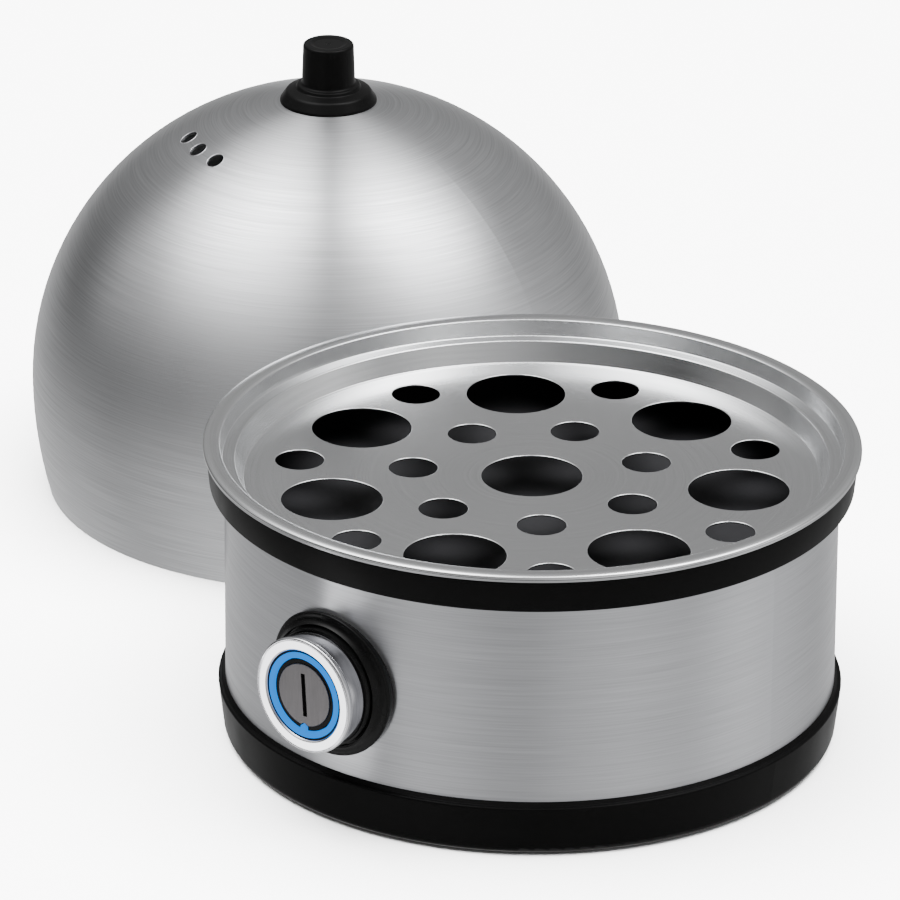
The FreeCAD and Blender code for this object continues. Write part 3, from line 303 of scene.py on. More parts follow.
@dataclass(frozen=True)
class CoatedBowl(BrushedSteel):
    """Drawn steel with a dark non-stick coat inside, and its flange left bare.

    The coat swallows the light under the tray, so the holes look black, while the bare
    flange catches a bright line of light round the rim.
    """

    coat: str = "#0C0C0D"
    coat_worn: str = "#121213"
    coat_edge_mm: float = 91.2
    coat_roughness: float = 0.62
    coat_specular: float = 0.08
    speckle_mm: float = 5 / 6

    def material(self) -> bpy.types.Material:
        """Make the material.

        Returns:
            Steel outside the coat's edge and dark coating inside it.
        """
        material = super().material()
        tree = material.node_tree
        steel = next(n for n in tree.nodes if n.type == "BSDF_PRINCIPLED")
        ways = self._ways(tree)
        radius = add_node(tree, "ShaderNodeSeparateXYZ", {0: ways}).outputs[2]
        bare = add_node(
            tree, "ShaderNodeMath", {0: radius, 1: self.coat_edge_mm * MM},
            operation="GREATER_THAN",
        ).outputs[0]
        speckle = add_node(
            tree, "ShaderNodeTexNoise",
            {"Vector": ways, "Scale": 1 / (self.speckle_mm * MM), "Detail": 2.0},
        ).outputs["Fac"]
        coat = add_node(
            tree, "ShaderNodeMix",
            {0: speckle, 6: srgb(self.coat), 7: srgb(self.coat_worn)}, data_type="RGBA",
        ).outputs[2]
        bare_colour = steel.inputs["Base Color"].links[0].from_socket
        bare_rough = steel.inputs["Roughness"].links[0].from_socket
        colour = add_node(
            tree, "ShaderNodeMix", {0: bare, 6: coat, 7: bare_colour}, data_type="RGBA"
        ).outputs[2]
        rough = add_node(
            tree, "ShaderNodeMix", {0: bare, 2: self.coat_roughness, 3: bare_rough},
        ).outputs[0]
        tree.links.new(colour, steel.inputs["Base Color"])
        tree.links.new(rough, steel.inputs["Roughness"])
        tree.links.new(bare, steel.inputs["Metallic"])
        steel.inputs["Specular IOR Level"].default_value = self.coat_specular
        return material


@dataclass(frozen=True)
class PlainMetal:
    """Plated, cast or polished metal, with faint clouding of its gloss."""

    name: str
    colour: str
    worn: str
    roughness: float
    cloud_mm: float = 8.0
    spread: float = 0.05
    grain_mm: float = 0.4
    bump_um: float = 2.0

    def material(self) -> bpy.types.Material:
        """Make the material.

        Returns:
            A metal with a clouded colour and roughness.
        """
        material, tree = blank_material(self.name)
        place = add_node(tree, "ShaderNodeTexCoord").outputs["Object"]
        cloud = add_node(
            tree, "ShaderNodeTexNoise",
            {"Vector": place, "Scale": 1 / (self.cloud_mm * MM), "Detail": 4.0},
        ).outputs["Fac"]
        grain = add_node(
            tree, "ShaderNodeTexNoise",
            {"Vector": place, "Scale": 1 / (self.grain_mm * MM), "Detail": 2.0},
        ).outputs["Fac"]
        colour = add_node(
            tree, "ShaderNodeMix",
            {0: cloud, 6: srgb(self.worn), 7: srgb(self.colour)}, data_type="RGBA",
        ).outputs[2]
        rough = add_node(
            tree, "ShaderNodeMapRange",
            {0: cloud, 1: 0.3, 2: 0.7, 3: self.roughness + self.spread,
             4: max(self.roughness - self.spread, 0.02)},
        ).outputs[0]
        bump = add_node(
            tree, "ShaderNodeBump",
            {"Height": grain, "Strength": 1.0, "Distance": self.bump_um * MICRON},
        ).outputs[0]
        close_material(tree, add_node(
            tree, "ShaderNodeBsdfPrincipled",
            {"Base Color": colour, "Metallic": 1.0, "Roughness": rough, "Normal": bump},
        ))
        return material


@dataclass(frozen=True)
class Moulded:
    """Moulded plastic or rubber with a spark-eroded grain, which breaks up its sheen."""

    name: str
    colour: str
    pale: str
    roughness: float = 0.42
    spread: float = 0.05
    specular: float = 0.3
    ior: float = 1.49
    grain_mm: float = 0.25
    bump_um: float = 3.0
    cloud_mm: float = 18.0

    def material(self) -> bpy.types.Material:
        """Make the material.

        Returns:
            A plastic with a fine grain and slightly uneven gloss.
        """
        material, tree = blank_material(self.name)
        place = add_node(tree, "ShaderNodeTexCoord").outputs["Object"]
        grain = add_node(
            tree, "ShaderNodeTexNoise",
            {"Vector": place, "Scale": 1 / (self.grain_mm * MM), "Detail": 3.0},
        ).outputs["Fac"]
        cloud = add_node(
            tree, "ShaderNodeTexNoise",
            {"Vector": place, "Scale": 1 / (self.cloud_mm * MM), "Detail": 3.0},
        ).outputs["Fac"]
        colour = add_node(
            tree, "ShaderNodeMix",
            {0: cloud, 6: srgb(self.colour), 7: srgb(self.pale)}, data_type="RGBA",
        ).outputs[2]
        rough = add_node(
            tree, "ShaderNodeMapRange",
            {0: cloud, 1: 0.3, 2: 0.7, 3: self.roughness - self.spread,
             4: self.roughness + self.spread},
        ).outputs[0]
        bump = add_node(
            tree, "ShaderNodeBump",
            {"Height": grain, "Strength": 1.0, "Distance": self.bump_um * MICRON},
        ).outputs[0]
        close_material(tree, add_node(
            tree, "ShaderNodeBsdfPrincipled",
            {"Base Color": colour, "Roughness": rough, "Specular IOR Level": self.specular,
             "IOR": self.ior, "Normal": bump},
        ))
        return material


@dataclass(frozen=True)
class LitLens:
    """Translucent polycarbonate with light-emitting diodes behind it.

    It glows by itself, a little brighter in front of each diode, under a soft gloss.
    """

    name: str
    colour: str
    glow: str
    bright: str
    strength: float
    deep: str = "#01060E"
    roughness: float = 0.5
    ior: float = 1.58
    specular: float = 0.01
    patch_mm: float = 7.0

    def material(self) -> bpy.types.Material:
        """Make the material.

        Returns:
            A tinted plastic with a soft, slightly uneven glow.
        """
        material, tree = blank_material(self.name)
        place = add_node(tree, "ShaderNodeTexCoord").outputs["Object"]
        patch = add_node(
            tree, "ShaderNodeTexNoise",
            {"Vector": place, "Scale": 1 / (self.patch_mm * MM), "Detail": 1.0},
        ).outputs["Fac"]
        glow = add_node(
            tree, "ShaderNodeMix",
            {0: patch, 6: srgb(self.glow), 7: srgb(self.bright)}, data_type="RGBA",
        ).outputs[2]
        body = add_node(
            tree, "ShaderNodeMix",
            {0: patch, 6: srgb(self.colour), 7: srgb(self.deep)}, data_type="RGBA",
        ).outputs[2]
        close_material(tree, add_node(
            tree, "ShaderNodeBsdfPrincipled",
            {"Base Color": body, "Roughness": self.roughness, "IOR": self.ior,
             "Specular IOR Level": self.specular,
             "Emission Color": glow, "Emission Strength": self.strength},
        ))
        return material


# Injection-moulded polypropylene: near black, with a low soft sheen on its edges.
BLACK_PP = Moulded("satin_polypropylene", "#020202", "#030303", roughness=0.36, specular=0.045)
# The same plastic from a polished tool: its rounded shoulder catches a line of light.
COLLAR_PP = Moulded("polished_polypropylene", "#020202", "#030303", roughness=0.27, spread=0.03,
                    specular=0.16, grain_mm=0.35, bump_um=1.5)
# Moulded ABS: satin, with a finer grain than the polypropylene.
BLACK_ABS = Moulded("satin_abs", "#020202", "#030303", roughness=0.48, specular=0.08, grain_mm=0.18)
# Pressed phenolic resin: hard, heat-proof and smooth, so its edges catch the light.
KNOB_RESIN = Moulded("phenolic_resin", "#020202", "#040404", roughness=0.30, specular=0.06)
# Moulded nitrile rubber: matt, a little paler than the plastics where it is dusty.
FOOT_RUBBER = Moulded("nitrile_rubber", "#121212", "#171717", roughness=0.7, specular=0.2)
# Extruded silicone: pale grey and matt.
SILICONE = Moulded("silicone_rubber", "#8E8E8B", "#989895", roughness=0.55)
# Zinc-plated steel: bright and slightly blue, with a cloudy gloss.
ZINC = PlainMetal("zinc_plate", "#BFC2C6", "#A9ACB0", roughness=0.34)
# Drawn spring steel: a darker, smooth wire.
SPRING_STEEL = PlainMetal("spring_steel", "#9A9A9C", "#848486", roughness=0.30)
# Cast aluminium: pale and grainy, with no clear reflections.
CAST_ALUMINIUM = PlainMetal("cast_aluminium", "#B9B9BA", "#A3A3A4", roughness=0.52, grain_mm=0.8,
                            bump_um=14.0)
# Annealed nickel-alloy tube: brown-grey from heat, satin.
ELEMENT_ALLOY = PlainMetal("nickel_alloy_sheath", "#6F665C", "#575049", roughness=0.48)
# Chromium plate on polished brass: near mirror, so it shows the lights as they are.
CHROME = PlainMetal("chrome_plate", "#EDEDF0", "#E4E4E8", roughness=0.09, spread=0.015,
                    bump_um=0.3, grain_mm=2.0)


# ---- mesh helpers -----------------------------------------------------------------


def rounded(corners: Sequence[tuple[float, ...]], steps: int = 6) -> Outline:
    """Round the inner corners of an open outline.

    Args:
        corners: Radius and height in mm, and a rounding radius where one is wanted.
        steps: How many faces each rounding gets.

    Returns:
        The outline's points, radius and height.
    """
    points: Outline = []
    for i, corner in enumerate(corners):
        radius = corner[2] if len(corner) > 2 and 0 < i < len(corners) - 1 else 0.0
        here = Vector(corner[:2])
        if radius <= 0:
            points.append((here.x, here.y))
            continue
        back = (Vector(corners[i - 1][:2]) - here).normalized()
        ahead = (Vector(corners[i + 1][:2]) - here).normalized()
        half = back.angle(ahead) / 2
        centre = here + (back + ahead).normalized() * (radius / math.sin(half))
        first = here + back * (radius / math.tan(half)) - centre
        last = here + ahead * (radius / math.tan(half)) - centre
        swing = math.pi - 2 * half
        way = 1 if first.x * last.y - first.y * last.x > 0 else -1
        for step in range(steps + 1):
            angle = way * swing * step / steps
            cos, sin = math.cos(angle), math.sin(angle)
            points.append((centre.x + first.x * cos - first.y * sin,
                           centre.y + first.x * sin + first.y * cos))
    return points


def turn(bm: bmesh.types.BMesh, outline: Outline, segments: int = 256, close: bool = True) -> None:
    """Turn an outline about the Z axis into a bmesh.

    Args:
        bm: The bmesh that gets the faces.
        outline: Radius and height in mm, from end to end.
        segments: How many faces go round.
        close: Whether the last point joins the first.
    """
    rings = []
    for radius, height in outline:
        ring = []
        for step in range(segments):
            angle = TURN * step / segments
            ring.append(bm.verts.new(
                (radius * MM * math.sin(angle), -radius * MM * math.cos(angle), height * MM)))
        rings.append(ring)
    count = len(rings) if close else len(rings) - 1
    for i in range(count):
        low, high = rings[i], rings[(i + 1) % len(rings)]
        for step in range(segments):
            after = (step + 1) % segments
            bm.faces.new((low[step], low[after], high[after], high[step]))


def ring_outline(
    radius: float, height: float, across: float, tall: float, steps: int = 10
) -> Outline:
    """Outline of a small oval bead.

    Args:
        radius: Radius of the circle that the bead follows, in mm.
        height: Height of the bead's middle.
        across: The bead's width.
        tall: The bead's height.
        steps: Faces round the bead.

    Returns:
        The bead's closed outline.
    """
    return [
        (radius + across / 2 * math.cos(TURN * i / steps),
         height + tall / 2 * math.sin(TURN * i / steps))
        for i in range(steps)
    ]


@dataclass
class Frame:
    """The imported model: its nodes, and the material of each finish used so far."""

    nodes: dict[str, bpy.types.Object]
    made: dict[str, bpy.types.Material] = field(default_factory=dict)

    def paint(self, finish: Finish) -> bpy.types.Material:
        """Make a finish's material once and hand it out again afterwards.

        Args:
            finish: The finish to make.

        Returns:
            Its material.
        """
        if finish.name not in self.made:
            self.made[finish.name] = finish.material()
        return self.made[finish.name]

    def dress(self, finish: Finish, *names: str) -> None:
        """Give CAD nodes a finish.

        Args:
            finish: The finish to give.
            names: The nodes that get it.
        """
        for name in names:
            for slot in self.nodes[name].material_slots:
                slot.material = self.paint(finish)
            LOG.info("%s: %s", name, finish.name)

    def add(
        self, name: str, mesh: bpy.types.Mesh, finish: Finish, body: str, slot: str,
        sharp_deg: float = 40.0,
    ) -> bpy.types.Object:
        """Add a piece to the scene and make it ride on a body.

        Args:
            name: The piece's name.
            mesh: Its mesh, in metres in the frame.
            finish: What it wears.
            body: The CAD body that it rides on.
            slot: Not used.
            sharp_deg: The angle above which an edge stays sharp.

        Returns:
            The new object.
        """
        mesh.materials.clear()
        mesh.materials.append(self.paint(finish))
        mesh.shade_smooth()
        mesh.set_sharp_from_angle(angle=math.radians(sharp_deg))
        piece = bpy.data.objects.new(name, mesh)
        bpy.context.collection.objects.link(piece)
        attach(piece, body)
        LOG.info("%s: %d faces, %s", name, len(mesh.polygons), finish.name)
        return piece


def finished_mesh(
    name: str, bm: bmesh.types.BMesh, shift_mm: tuple[float, float] = (0.0, 0.0)
) -> bpy.types.Mesh:
    """Turn a bmesh into a mesh with its faces turned outward.

    Args:
        name: The mesh's name.
        bm: The bmesh, which is freed.
        shift_mm: How far it moves sideways first.

    Returns:
        The mesh.
    """
    bmesh.ops.recalc_face_normals(bm, faces=bm.faces)
    bmesh.ops.translate(bm, verts=bm.verts, vec=(shift_mm[0] * MM, shift_mm[1] * MM, 0))
    mesh = bpy.data.meshes.new(name)
    bm.to_mesh(mesh)
    bm.free()
    return mesh


# ---- sub-assemblies ---------------------------------------------------------------


@dataclass
class BaseCasing:
    """Steel band between two black mouldings, on a cover with a rubber foot ring."""

    frame: Frame
    band_radius: float = 90.0
    band_low: float = 17.6
    band_high: float = 78.5
    seam_width: float = 5.0
    seam_thickness: float = 0.5
    seam_steps: int = 12
    seam_edge_share: float = 1 / 6  # of the seam's width, where its edge rounds over
    weld_radius: float = 0.9
    weld_count: int = 6
    weld_segments: int = 20
    # share of the weld's radius, and height over the seam
    weld_profile: tuple[tuple[float, float], ...] = (
        (1.0, 0.0), (0.8, 0.12), (0.5, 0.14), (0.25, 0.05))
    ring_foot: float = 78.8
    ring_top: float = 88.7
    ring_seat: float = 90.05
    ring_low_radius: float = 94.4
    ring_high_radius: float = 95.4
    ring_bore: float = 92.95
    ring_low_bore: float = 89.0
    band_stop: float = 81.1  # the step inside the ring over the band's edge
    shelf: float = 84.05  # the next step, under the ring's wide bore
    gasket_groove: tuple[float, float] = (93.35, 94.55)
    gasket_depth: float = 1.0

    def build_top_ring(self) -> None:
        """Mould the ring round the top, with its shelf and its groove for the gasket."""
        bm = bmesh.new()
        inner, outer = self.gasket_groove
        bed = self.ring_top - self.gasket_depth
        turn(bm, rounded([
            (self.ring_seat, self.ring_foot), (self.ring_low_radius, self.ring_foot, 0.8),
            (self.ring_high_radius, self.ring_top, 0.6), (outer, self.ring_top),
            (outer, bed), (inner, bed), (inner, self.ring_top),
            (self.ring_bore, self.ring_top), (self.ring_bore, self.shelf),
            (self.ring_low_bore, self.shelf), (self.ring_low_bore, self.band_stop),
            (self.ring_seat, self.band_stop),
        ]), segments=320)
        ring = self.frame.add("moulded_top_ring", finished_mesh("moulded_top_ring", bm), BLACK_PP,
                              "base", "black_casing")
        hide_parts("top_ring")

    def build_seam(self) -> None:
        """Lap the band's two ends at the back, with a row of spot welds."""
        bm = bmesh.new()
        half = self.seam_width / 2 / self.band_radius
        columns = []
        low, high = self.band_low, self.band_high
        for step in range(self.seam_steps + 1):
            t = step / self.seam_steps
            angle = math.pi + half * (2 * t - 1)
            rise = min(1.0, min(t, 1 - t) / self.seam_edge_share) ** 0.5
            radius = (self.band_radius + self.seam_thickness * rise) * MM
            columns.append([
                bm.verts.new((radius * math.sin(angle), -radius * math.cos(angle), z * MM))
                for z in (low, high)
            ])
        for one, two in zip(columns, columns[1:]):
            bm.faces.new((one[0], two[0], two[1], one[1]))
        for i in range(self.weld_count):
            z = low + (high - low) * (i + 0.5) / self.weld_count
            self._weld(bm, z)
        self.frame.add("band_seam", finished_mesh("band_seam", bm), BAND_STEEL, "base",
                       "brushed_shell")

    def _weld(self, bm: bmesh.types.BMesh, z: float) -> None:
        """Add one shallow spot weld to the seam.

        Args:
            bm: The seam's bmesh.
            z: The weld's height in mm.
        """
        face = self.band_radius + self.seam_thickness
        count = self.weld_segments
        rings = []
        for share, proud in self.weld_profile:
            reach = self.weld_radius * share
            rings.append([
                bm.verts.new((
                    reach * math.cos(TURN * k / count) * MM,
                    (face + proud) * MM,
                    (z + reach * math.sin(TURN * k / count)) * MM,
                ))
                for k in range(count)
            ])
        for outer, inner in zip(rings, rings[1:]):
            for k in range(count):
                after = (k + 1) % count
                bm.faces.new((outer[k], outer[after], inner[after], inner[k]))
        bm.faces.new(rings[-1])

    def dress(self) -> None:
        """Give the casing its finishes."""
        self.frame.dress(BAND_STEEL, "shell_band")
        self.frame.dress(BLACK_PP, "base_housing", "top_ring", "bottom_cover")
        self.frame.dress(FOOT_RUBBER, "foot_ring", "cord_gland")
        self.frame.dress(ZINC, "cover_screws")

    def build(self) -> None:
        """Build and dress the casing."""
        self.dress()
        self.build_top_ring()
        self.build_seam()


# Cold-rolled stainless strip, belt-brushed along its length and rolled into a band:
# soft upright streaks of light over very fine level lines.
BAND_STEEL = BrushedSteel("brushed_strip_steel", light="#CCCDD0", dark="#B9BABD", bump_um=0.5)


@dataclass
class CookingBowl:
    """Drawn steel bowl for the water, its seal, and the tray that holds the eggs."""

    frame: Frame
    sheet: float = 0.6
    rim_radius: float = 96.3
    rim_top: float = 90.95
    rim_foot: float = 89.8
    well_radius: float = 91.2
    ledge_top: float = 85.65
    ledge_outer: float = 90.6
    ledge_inner: float = 86.8
    floor_radius: float = 84.5
    floor_top: float = 79.35
    seats: int = 7
    seat_radius: float = 14.8
    seat_circle: float = 60.9
    steam_radius: float = 7.2
    steam_circles: tuple[float, float] = (35.2, 69.0)
    turn_deg: float = 44.0
    edge_round: float = 0.22
    plate_inset: float = 1.9  # from the bend's foot to the floor plate, which it overlaps
    plate_segments: int = 256
    hole_segments: int = 72

    def _rim_and_ledge(self, bm: bmesh.types.BMesh) -> None:
        """Press the crowned rim, the wall, the ledge and the bend down to the floor.

        Args:
            bm: The tray's bmesh.
        """
        crown = [
            (self.rim_radius - inset, base + rise) for inset, base, rise in (
                (0.0, self.rim_foot, 0.0), (0.0, self.rim_foot, 0.25),
                (0.12, self.rim_foot, 0.55), (0.5, self.rim_foot, 0.84),
                (1.2, self.rim_foot, 1.04), (2.2, self.rim_top, 0.0),
                (3.4, self.rim_top, -0.02), (4.3, self.rim_top, -0.14),
            )
        ]
        inner = rounded([
            crown[-1],
            (self.well_radius, self.rim_top - 0.38, 0.5),
            (self.ledge_outer, self.ledge_top, 0.35),
            (self.ledge_inner, self.ledge_top, 0.7),
            (self.floor_radius, self.floor_top, 0.6),
            (self.floor_radius - 2.0, self.floor_top),
        ])
        top = crown + inner[1:]
        under = []
        for i, (radius, height) in enumerate(top):
            before = Vector(top[max(i - 1, 0)])
            after = Vector(top[min(i + 1, len(top) - 1)])
            way = (after - before).normalized()
            under.append((radius - self.sheet * way.y, height + self.sheet * way.x))
        turn(bm, top + under[::-1])

    def _floor(self) -> bpy.types.Mesh:
        """Punch the floor plate: a seat in the middle, seats round it and steam holes.

        Returns:
            The plate with its rounded hole edges.
        """
        curve = bpy.data.curves.new("tray_floor", "CURVE")
        curve.dimensions = "2D"
        curve.fill_mode = "BOTH"
        curve.extrude = (self.sheet / 2 - self.edge_round) * MM
        curve.bevel_depth = self.edge_round * MM
        curve.bevel_resolution = 3
        circles = [(0.0, 0.0, self.floor_radius - self.plate_inset),
                   (0.0, 0.0, self.seat_radius)]
        pitch = 360.0 / self.seats
        for i in range(self.seats):
            hole = math.radians(self.turn_deg + i * pitch)
            seat = hole + math.radians(pitch / 2)
            circles.append((self.seat_circle * math.sin(seat), -self.seat_circle * math.cos(seat),
                            self.seat_radius))
            for circle in self.steam_circles:
                circles.append((circle * math.sin(hole), -circle * math.cos(hole),
                                self.steam_radius))
        for number, (x, y, radius) in enumerate(circles):
            reach = radius - self.edge_round if number == 0 else radius + self.edge_round
            spline = curve.splines.new("POLY")
            count = self.plate_segments if number == 0 else self.hole_segments
            spline.points.add(count - 1)
            for k, point in enumerate(spline.points):
                angle = TURN * k / count
                point.co = ((x + reach * math.cos(angle)) * MM,
                            (y + reach * math.sin(angle)) * MM, 0.0, 1.0)
            spline.use_cyclic_u = True
        holder = bpy.data.objects.new("tray_floor", curve)
        mesh = bpy.data.meshes.new_from_object(holder)
        bpy.data.objects.remove(holder)
        bpy.data.curves.remove(curve)
        mesh.transform(Matrix.Translation((0, 0, (self.floor_top - self.sheet / 2) * MM)))
        return mesh

    def build_tray(self) -> None:
        """Build the tray: a crowned rim, a ledge for the lid and a punched floor."""
        bm = bmesh.new()
        self._rim_and_ledge(bm)
        bmesh.ops.recalc_face_normals(bm, faces=bm.faces)
        plate = self._floor()
        bm.from_mesh(plate)
        bpy.data.meshes.remove(plate)
        mesh = bpy.data.meshes.new("pressed_tray")
        bm.to_mesh(mesh)
        bm.free()
        tray = self.frame.add("pressed_tray", mesh, TRAY_STEEL, "tray", "pressed_tray", 35.0)
        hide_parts("egg_tray")

    def dress(self) -> None:
        """Give the bowl and the pieces on it their finishes."""
        self.frame.dress(TRAY_STEEL, "egg_tray")
        self.frame.dress(BOWL_STEEL, "heating_bowl")
        self.frame.dress(SILICONE, "bowl_gasket")
        self.frame.dress(ZINC, "bowl_mount_ring", "bowl_studs")

    def build(self) -> None:
        """Build and dress the bowl and the tray."""
        self.dress()
        self.build_tray()


# Stainless sheet, pressed and tumbled: brighter and smoother than the brushed band.
TRAY_STEEL = BrushedSteel("pressed_tray_steel", light="#E2E3E4", dark="#D6D7D8",
                          lay=Lay.ROUND_DISC, roughness=0.21, anisotropy=0.3,
                          scratch_mm=0.5, scratch_long_mm=40.0, bump_um=0.5)
# Deep-drawn stainless, coated inside: dark under the tray, a bright line at the flange.
BOWL_STEEL = CoatedBowl("coated_bowl_steel", light="#C3C4C6", dark="#B8B9BB",
                        lay=Lay.ROUND_DISC, roughness=0.24, anisotropy=0.3)


# Chromium plate over a fine-turned barrel: near mirror, drawn out along its axis.
TURNED_CHROME = BrushedSteel("turned_chrome_plate", light="#CACACE", dark="#A6A6AB",
                             lay=Lay.ROUND_BARREL, tangent="Y", scratch_mm=0.3,
                             scratch_long_mm=14.0, pass_mm=0.8, pass_long_mm=30.0,
                             roughness=0.10, roughness_spread=0.02, anisotropy=0.6, bump_um=0.15)


@dataclass
class PushButton:
    """Lit push button: chrome bezel, blue ring, satin disc and the collar round them."""

    frame: Frame
    axis_height: float = 44.9
    band_radius: float = 90.0
    barrel_radius: float = 17.0
    barrel_bore: float = 15.9
    barrel_back: float = -8.0
    head_radius: float = 17.5
    head_face: float = 12.4
    head_back: float = 10.8
    opening: float = 13.65
    edge_groove: float = 16.75
    groove_depth: float = 0.14
    groove_half: float = 0.16
    collar_radius: float = 21.9
    collar_foot: float = 21.3
    collar_bore: float = 17.05
    neck_radius: float = 17.78
    collar_segments: int = 192
    sleeve_radius: float = 17.6
    sleeve_back: float = -12.0

    def _set_in_place(self, bm: bmesh.types.BMesh) -> None:
        """Turn a piece that was made round Z to face the front, at the button's height.

        Args:
            bm: The piece's bmesh.
        """
        place = Matrix.Translation((0, -self.band_radius * MM, self.axis_height * MM))
        bm.transform(place @ Matrix.Rotation(math.pi / 2, 4, "X"))

    def _collar_outline(self) -> list[tuple[float, float, float]]:
        """Outline of the collar, from its foot over the flange and down the sleeve.

        Returns:
            Radius, height over the band, and how far that height is measured from the
            band's front line instead of from its curved face: 0 on the flange, which
            follows the band, and 1 on the neck, which is round and flat.
        """
        edge, neck = self.collar_radius, self.neck_radius
        return [
            (self.collar_foot, 0.02, 0.0), (self.collar_foot + 0.2, 0.5, 0.1),
            (edge - 0.05, 1.25, 0.3), (edge, 1.5, 0.35), (edge - 0.1, 1.8, 0.35),
            (edge - 0.35, 2.02, 0.37), (edge - 0.75, 2.1, 0.4), (edge - 1.2, 2.06, 0.45),
            (edge - 1.7, 2.05, 0.55), (edge - 2.3, 2.25, 0.7), (edge - 2.8, 2.6, 0.85),
            (edge - 3.2, 3.0, 0.97), (edge - 3.35, 3.2, 1.0), (edge - 3.45, 3.22, 1.0),
            (edge - 3.55, 3.1, 1.0), (edge - 3.6, 1.8, 1.0),
            (neck, 1.7, 1.0), (neck, 4.75, 1.0), (neck - 0.08, 4.95, 1.0),
            (neck - 0.28, 5.05, 1.0),
            (self.collar_bore + 0.1, 5.0, 1.0), (self.collar_bore, 4.85, 1.0),
            (self.collar_bore, self.sleeve_back, 1.0), (self.sleeve_radius, self.sleeve_back, 1.0),
            (self.sleeve_radius, 0.02, 0.0),
        ]

    def build_collar(self) -> None:
        """Mould the collar: a thin flange shaped to the band, and a neck round the bezel."""
        bm = bmesh.new()
        rings = []
        segments = self.collar_segments
        for radius, height, flat in self._collar_outline():
            ring = []
            for step in range(segments):
                angle = TURN * step / segments
                x, z = radius * math.sin(angle), radius * math.cos(angle)
                front = -math.sqrt(self.band_radius**2 - x * x)
                y = front * (1 - flat) - self.band_radius * flat - height
                ring.append(bm.verts.new((x * MM, y * MM, (self.axis_height + z) * MM)))
            rings.append(ring)
        for i, ring in enumerate(rings):
            following = rings[(i + 1) % len(rings)]
            for step in range(segments):
                after = (step + 1) % segments
                bm.faces.new((ring[step], ring[after], following[after], following[step]))
        collar = self.frame.add("moulded_collar", finished_mesh("moulded_collar", bm), COLLAR_PP,
                                "base", "black_button")
        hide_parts("button_collar")

    def build_bezel(self) -> None:
        """Turn the bezel: a plain barrel, and a polished head with a fine line round it."""
        face, back = self.head_face, self.head_back
        half, groove = self.groove_half, self.edge_groove
        head = bmesh.new()
        turn(head, rounded([
            (self.barrel_bore, back), (self.barrel_radius - 0.35, back),
            (self.head_radius, back, 0.22), (self.head_radius, face - 0.12, 0.55),
            (groove + half, face - 0.02, 0.1), (groove, face - self.groove_depth, 0.04),
            (groove - half, face, 0.1), (self.opening + 0.5, face, 0.3),
            (self.opening, face - 0.42, 0.25), (self.opening, back),
        ], steps=5), segments=192)
        self._set_in_place(head)
        barrel = bmesh.new()
        turn(barrel, rounded([
            (self.barrel_bore, self.barrel_back), (self.barrel_radius, self.barrel_back, 0.3),
            (self.barrel_radius, back - 0.5, 0.12), (self.barrel_radius - 0.4, back - 0.36, 0.1),
            (self.barrel_radius - 0.4, back - 0.02), (self.barrel_bore, back - 0.02),
        ], steps=4), segments=192)
        self._set_in_place(barrel)
        for name, bm, finish in (("bezel_head", head, CHROME),
                                 ("bezel_barrel", barrel, TURNED_CHROME)):
            piece = self.frame.add(name, finished_mesh(name, bm), finish, "base", "chrome_trim")
            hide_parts("chrome_bezel")

    def dress(self) -> None:
        """Give the button its finishes."""
        # Tinted polycarbonate over blue diodes: an even blue glow, paler in patches.
        lens = LitLens("blue_polycarbonate", "#020A14", "#0088FF", "#0A94FF", strength=1.15)
        # Fine-brushed anodised aluminium: a quiet mid grey with faint upright lines.
        disc = BrushedSteel(
            "satin_anodised_aluminium", light="#605E5F", dark="#5D5B5C", lay=Lay.ALONG_Z,
            scratch_mm=0.25, scratch_long_mm=5.0, pass_mm=0.8, pass_long_mm=20.0,
            roughness=0.46, anisotropy=0.2, bump_um=0.3,
        )
        self.frame.dress(COLLAR_PP, "button_collar")
        self.frame.dress(BLACK_PP, "collar_nut", "saddle_washer")
        self.frame.dress(CHROME, "chrome_bezel")
        self.frame.dress(BLACK_ABS, "lens_retainer", "button_cap", "switch_module")
        self.frame.dress(lens, "light_ring")
        self.frame.dress(disc, "button_disc")
        self.frame.dress(SPRING_STEEL, "button_spring")
        # Glass-filled epoxy with green solder mask: glossy dark green.
        self.frame.dress(Moulded("glass_epoxy", "#0D4A26", "#12552D", roughness=0.3), "led_board")

    def build(self) -> None:
        """Build and dress the button."""
        self.dress()
        self.build_collar()
        self.build_bezel()


LID_AXIS = (-163.2, 97.8)  # where the lid stands beside the base
LID_SKIRT = 35.2
LID_RADIUS = 93.4
# Spun stainless dome, brushed round its axis: wedges of light run from knob to rim.
LID_STEEL = BrushedSteel("brushed_lid_steel", lay=Lay.ROUND_DOME, axis_mm=LID_AXIS,
                         dome_mm=(LID_SKIRT, LID_RADIUS), bump_um=0.7)


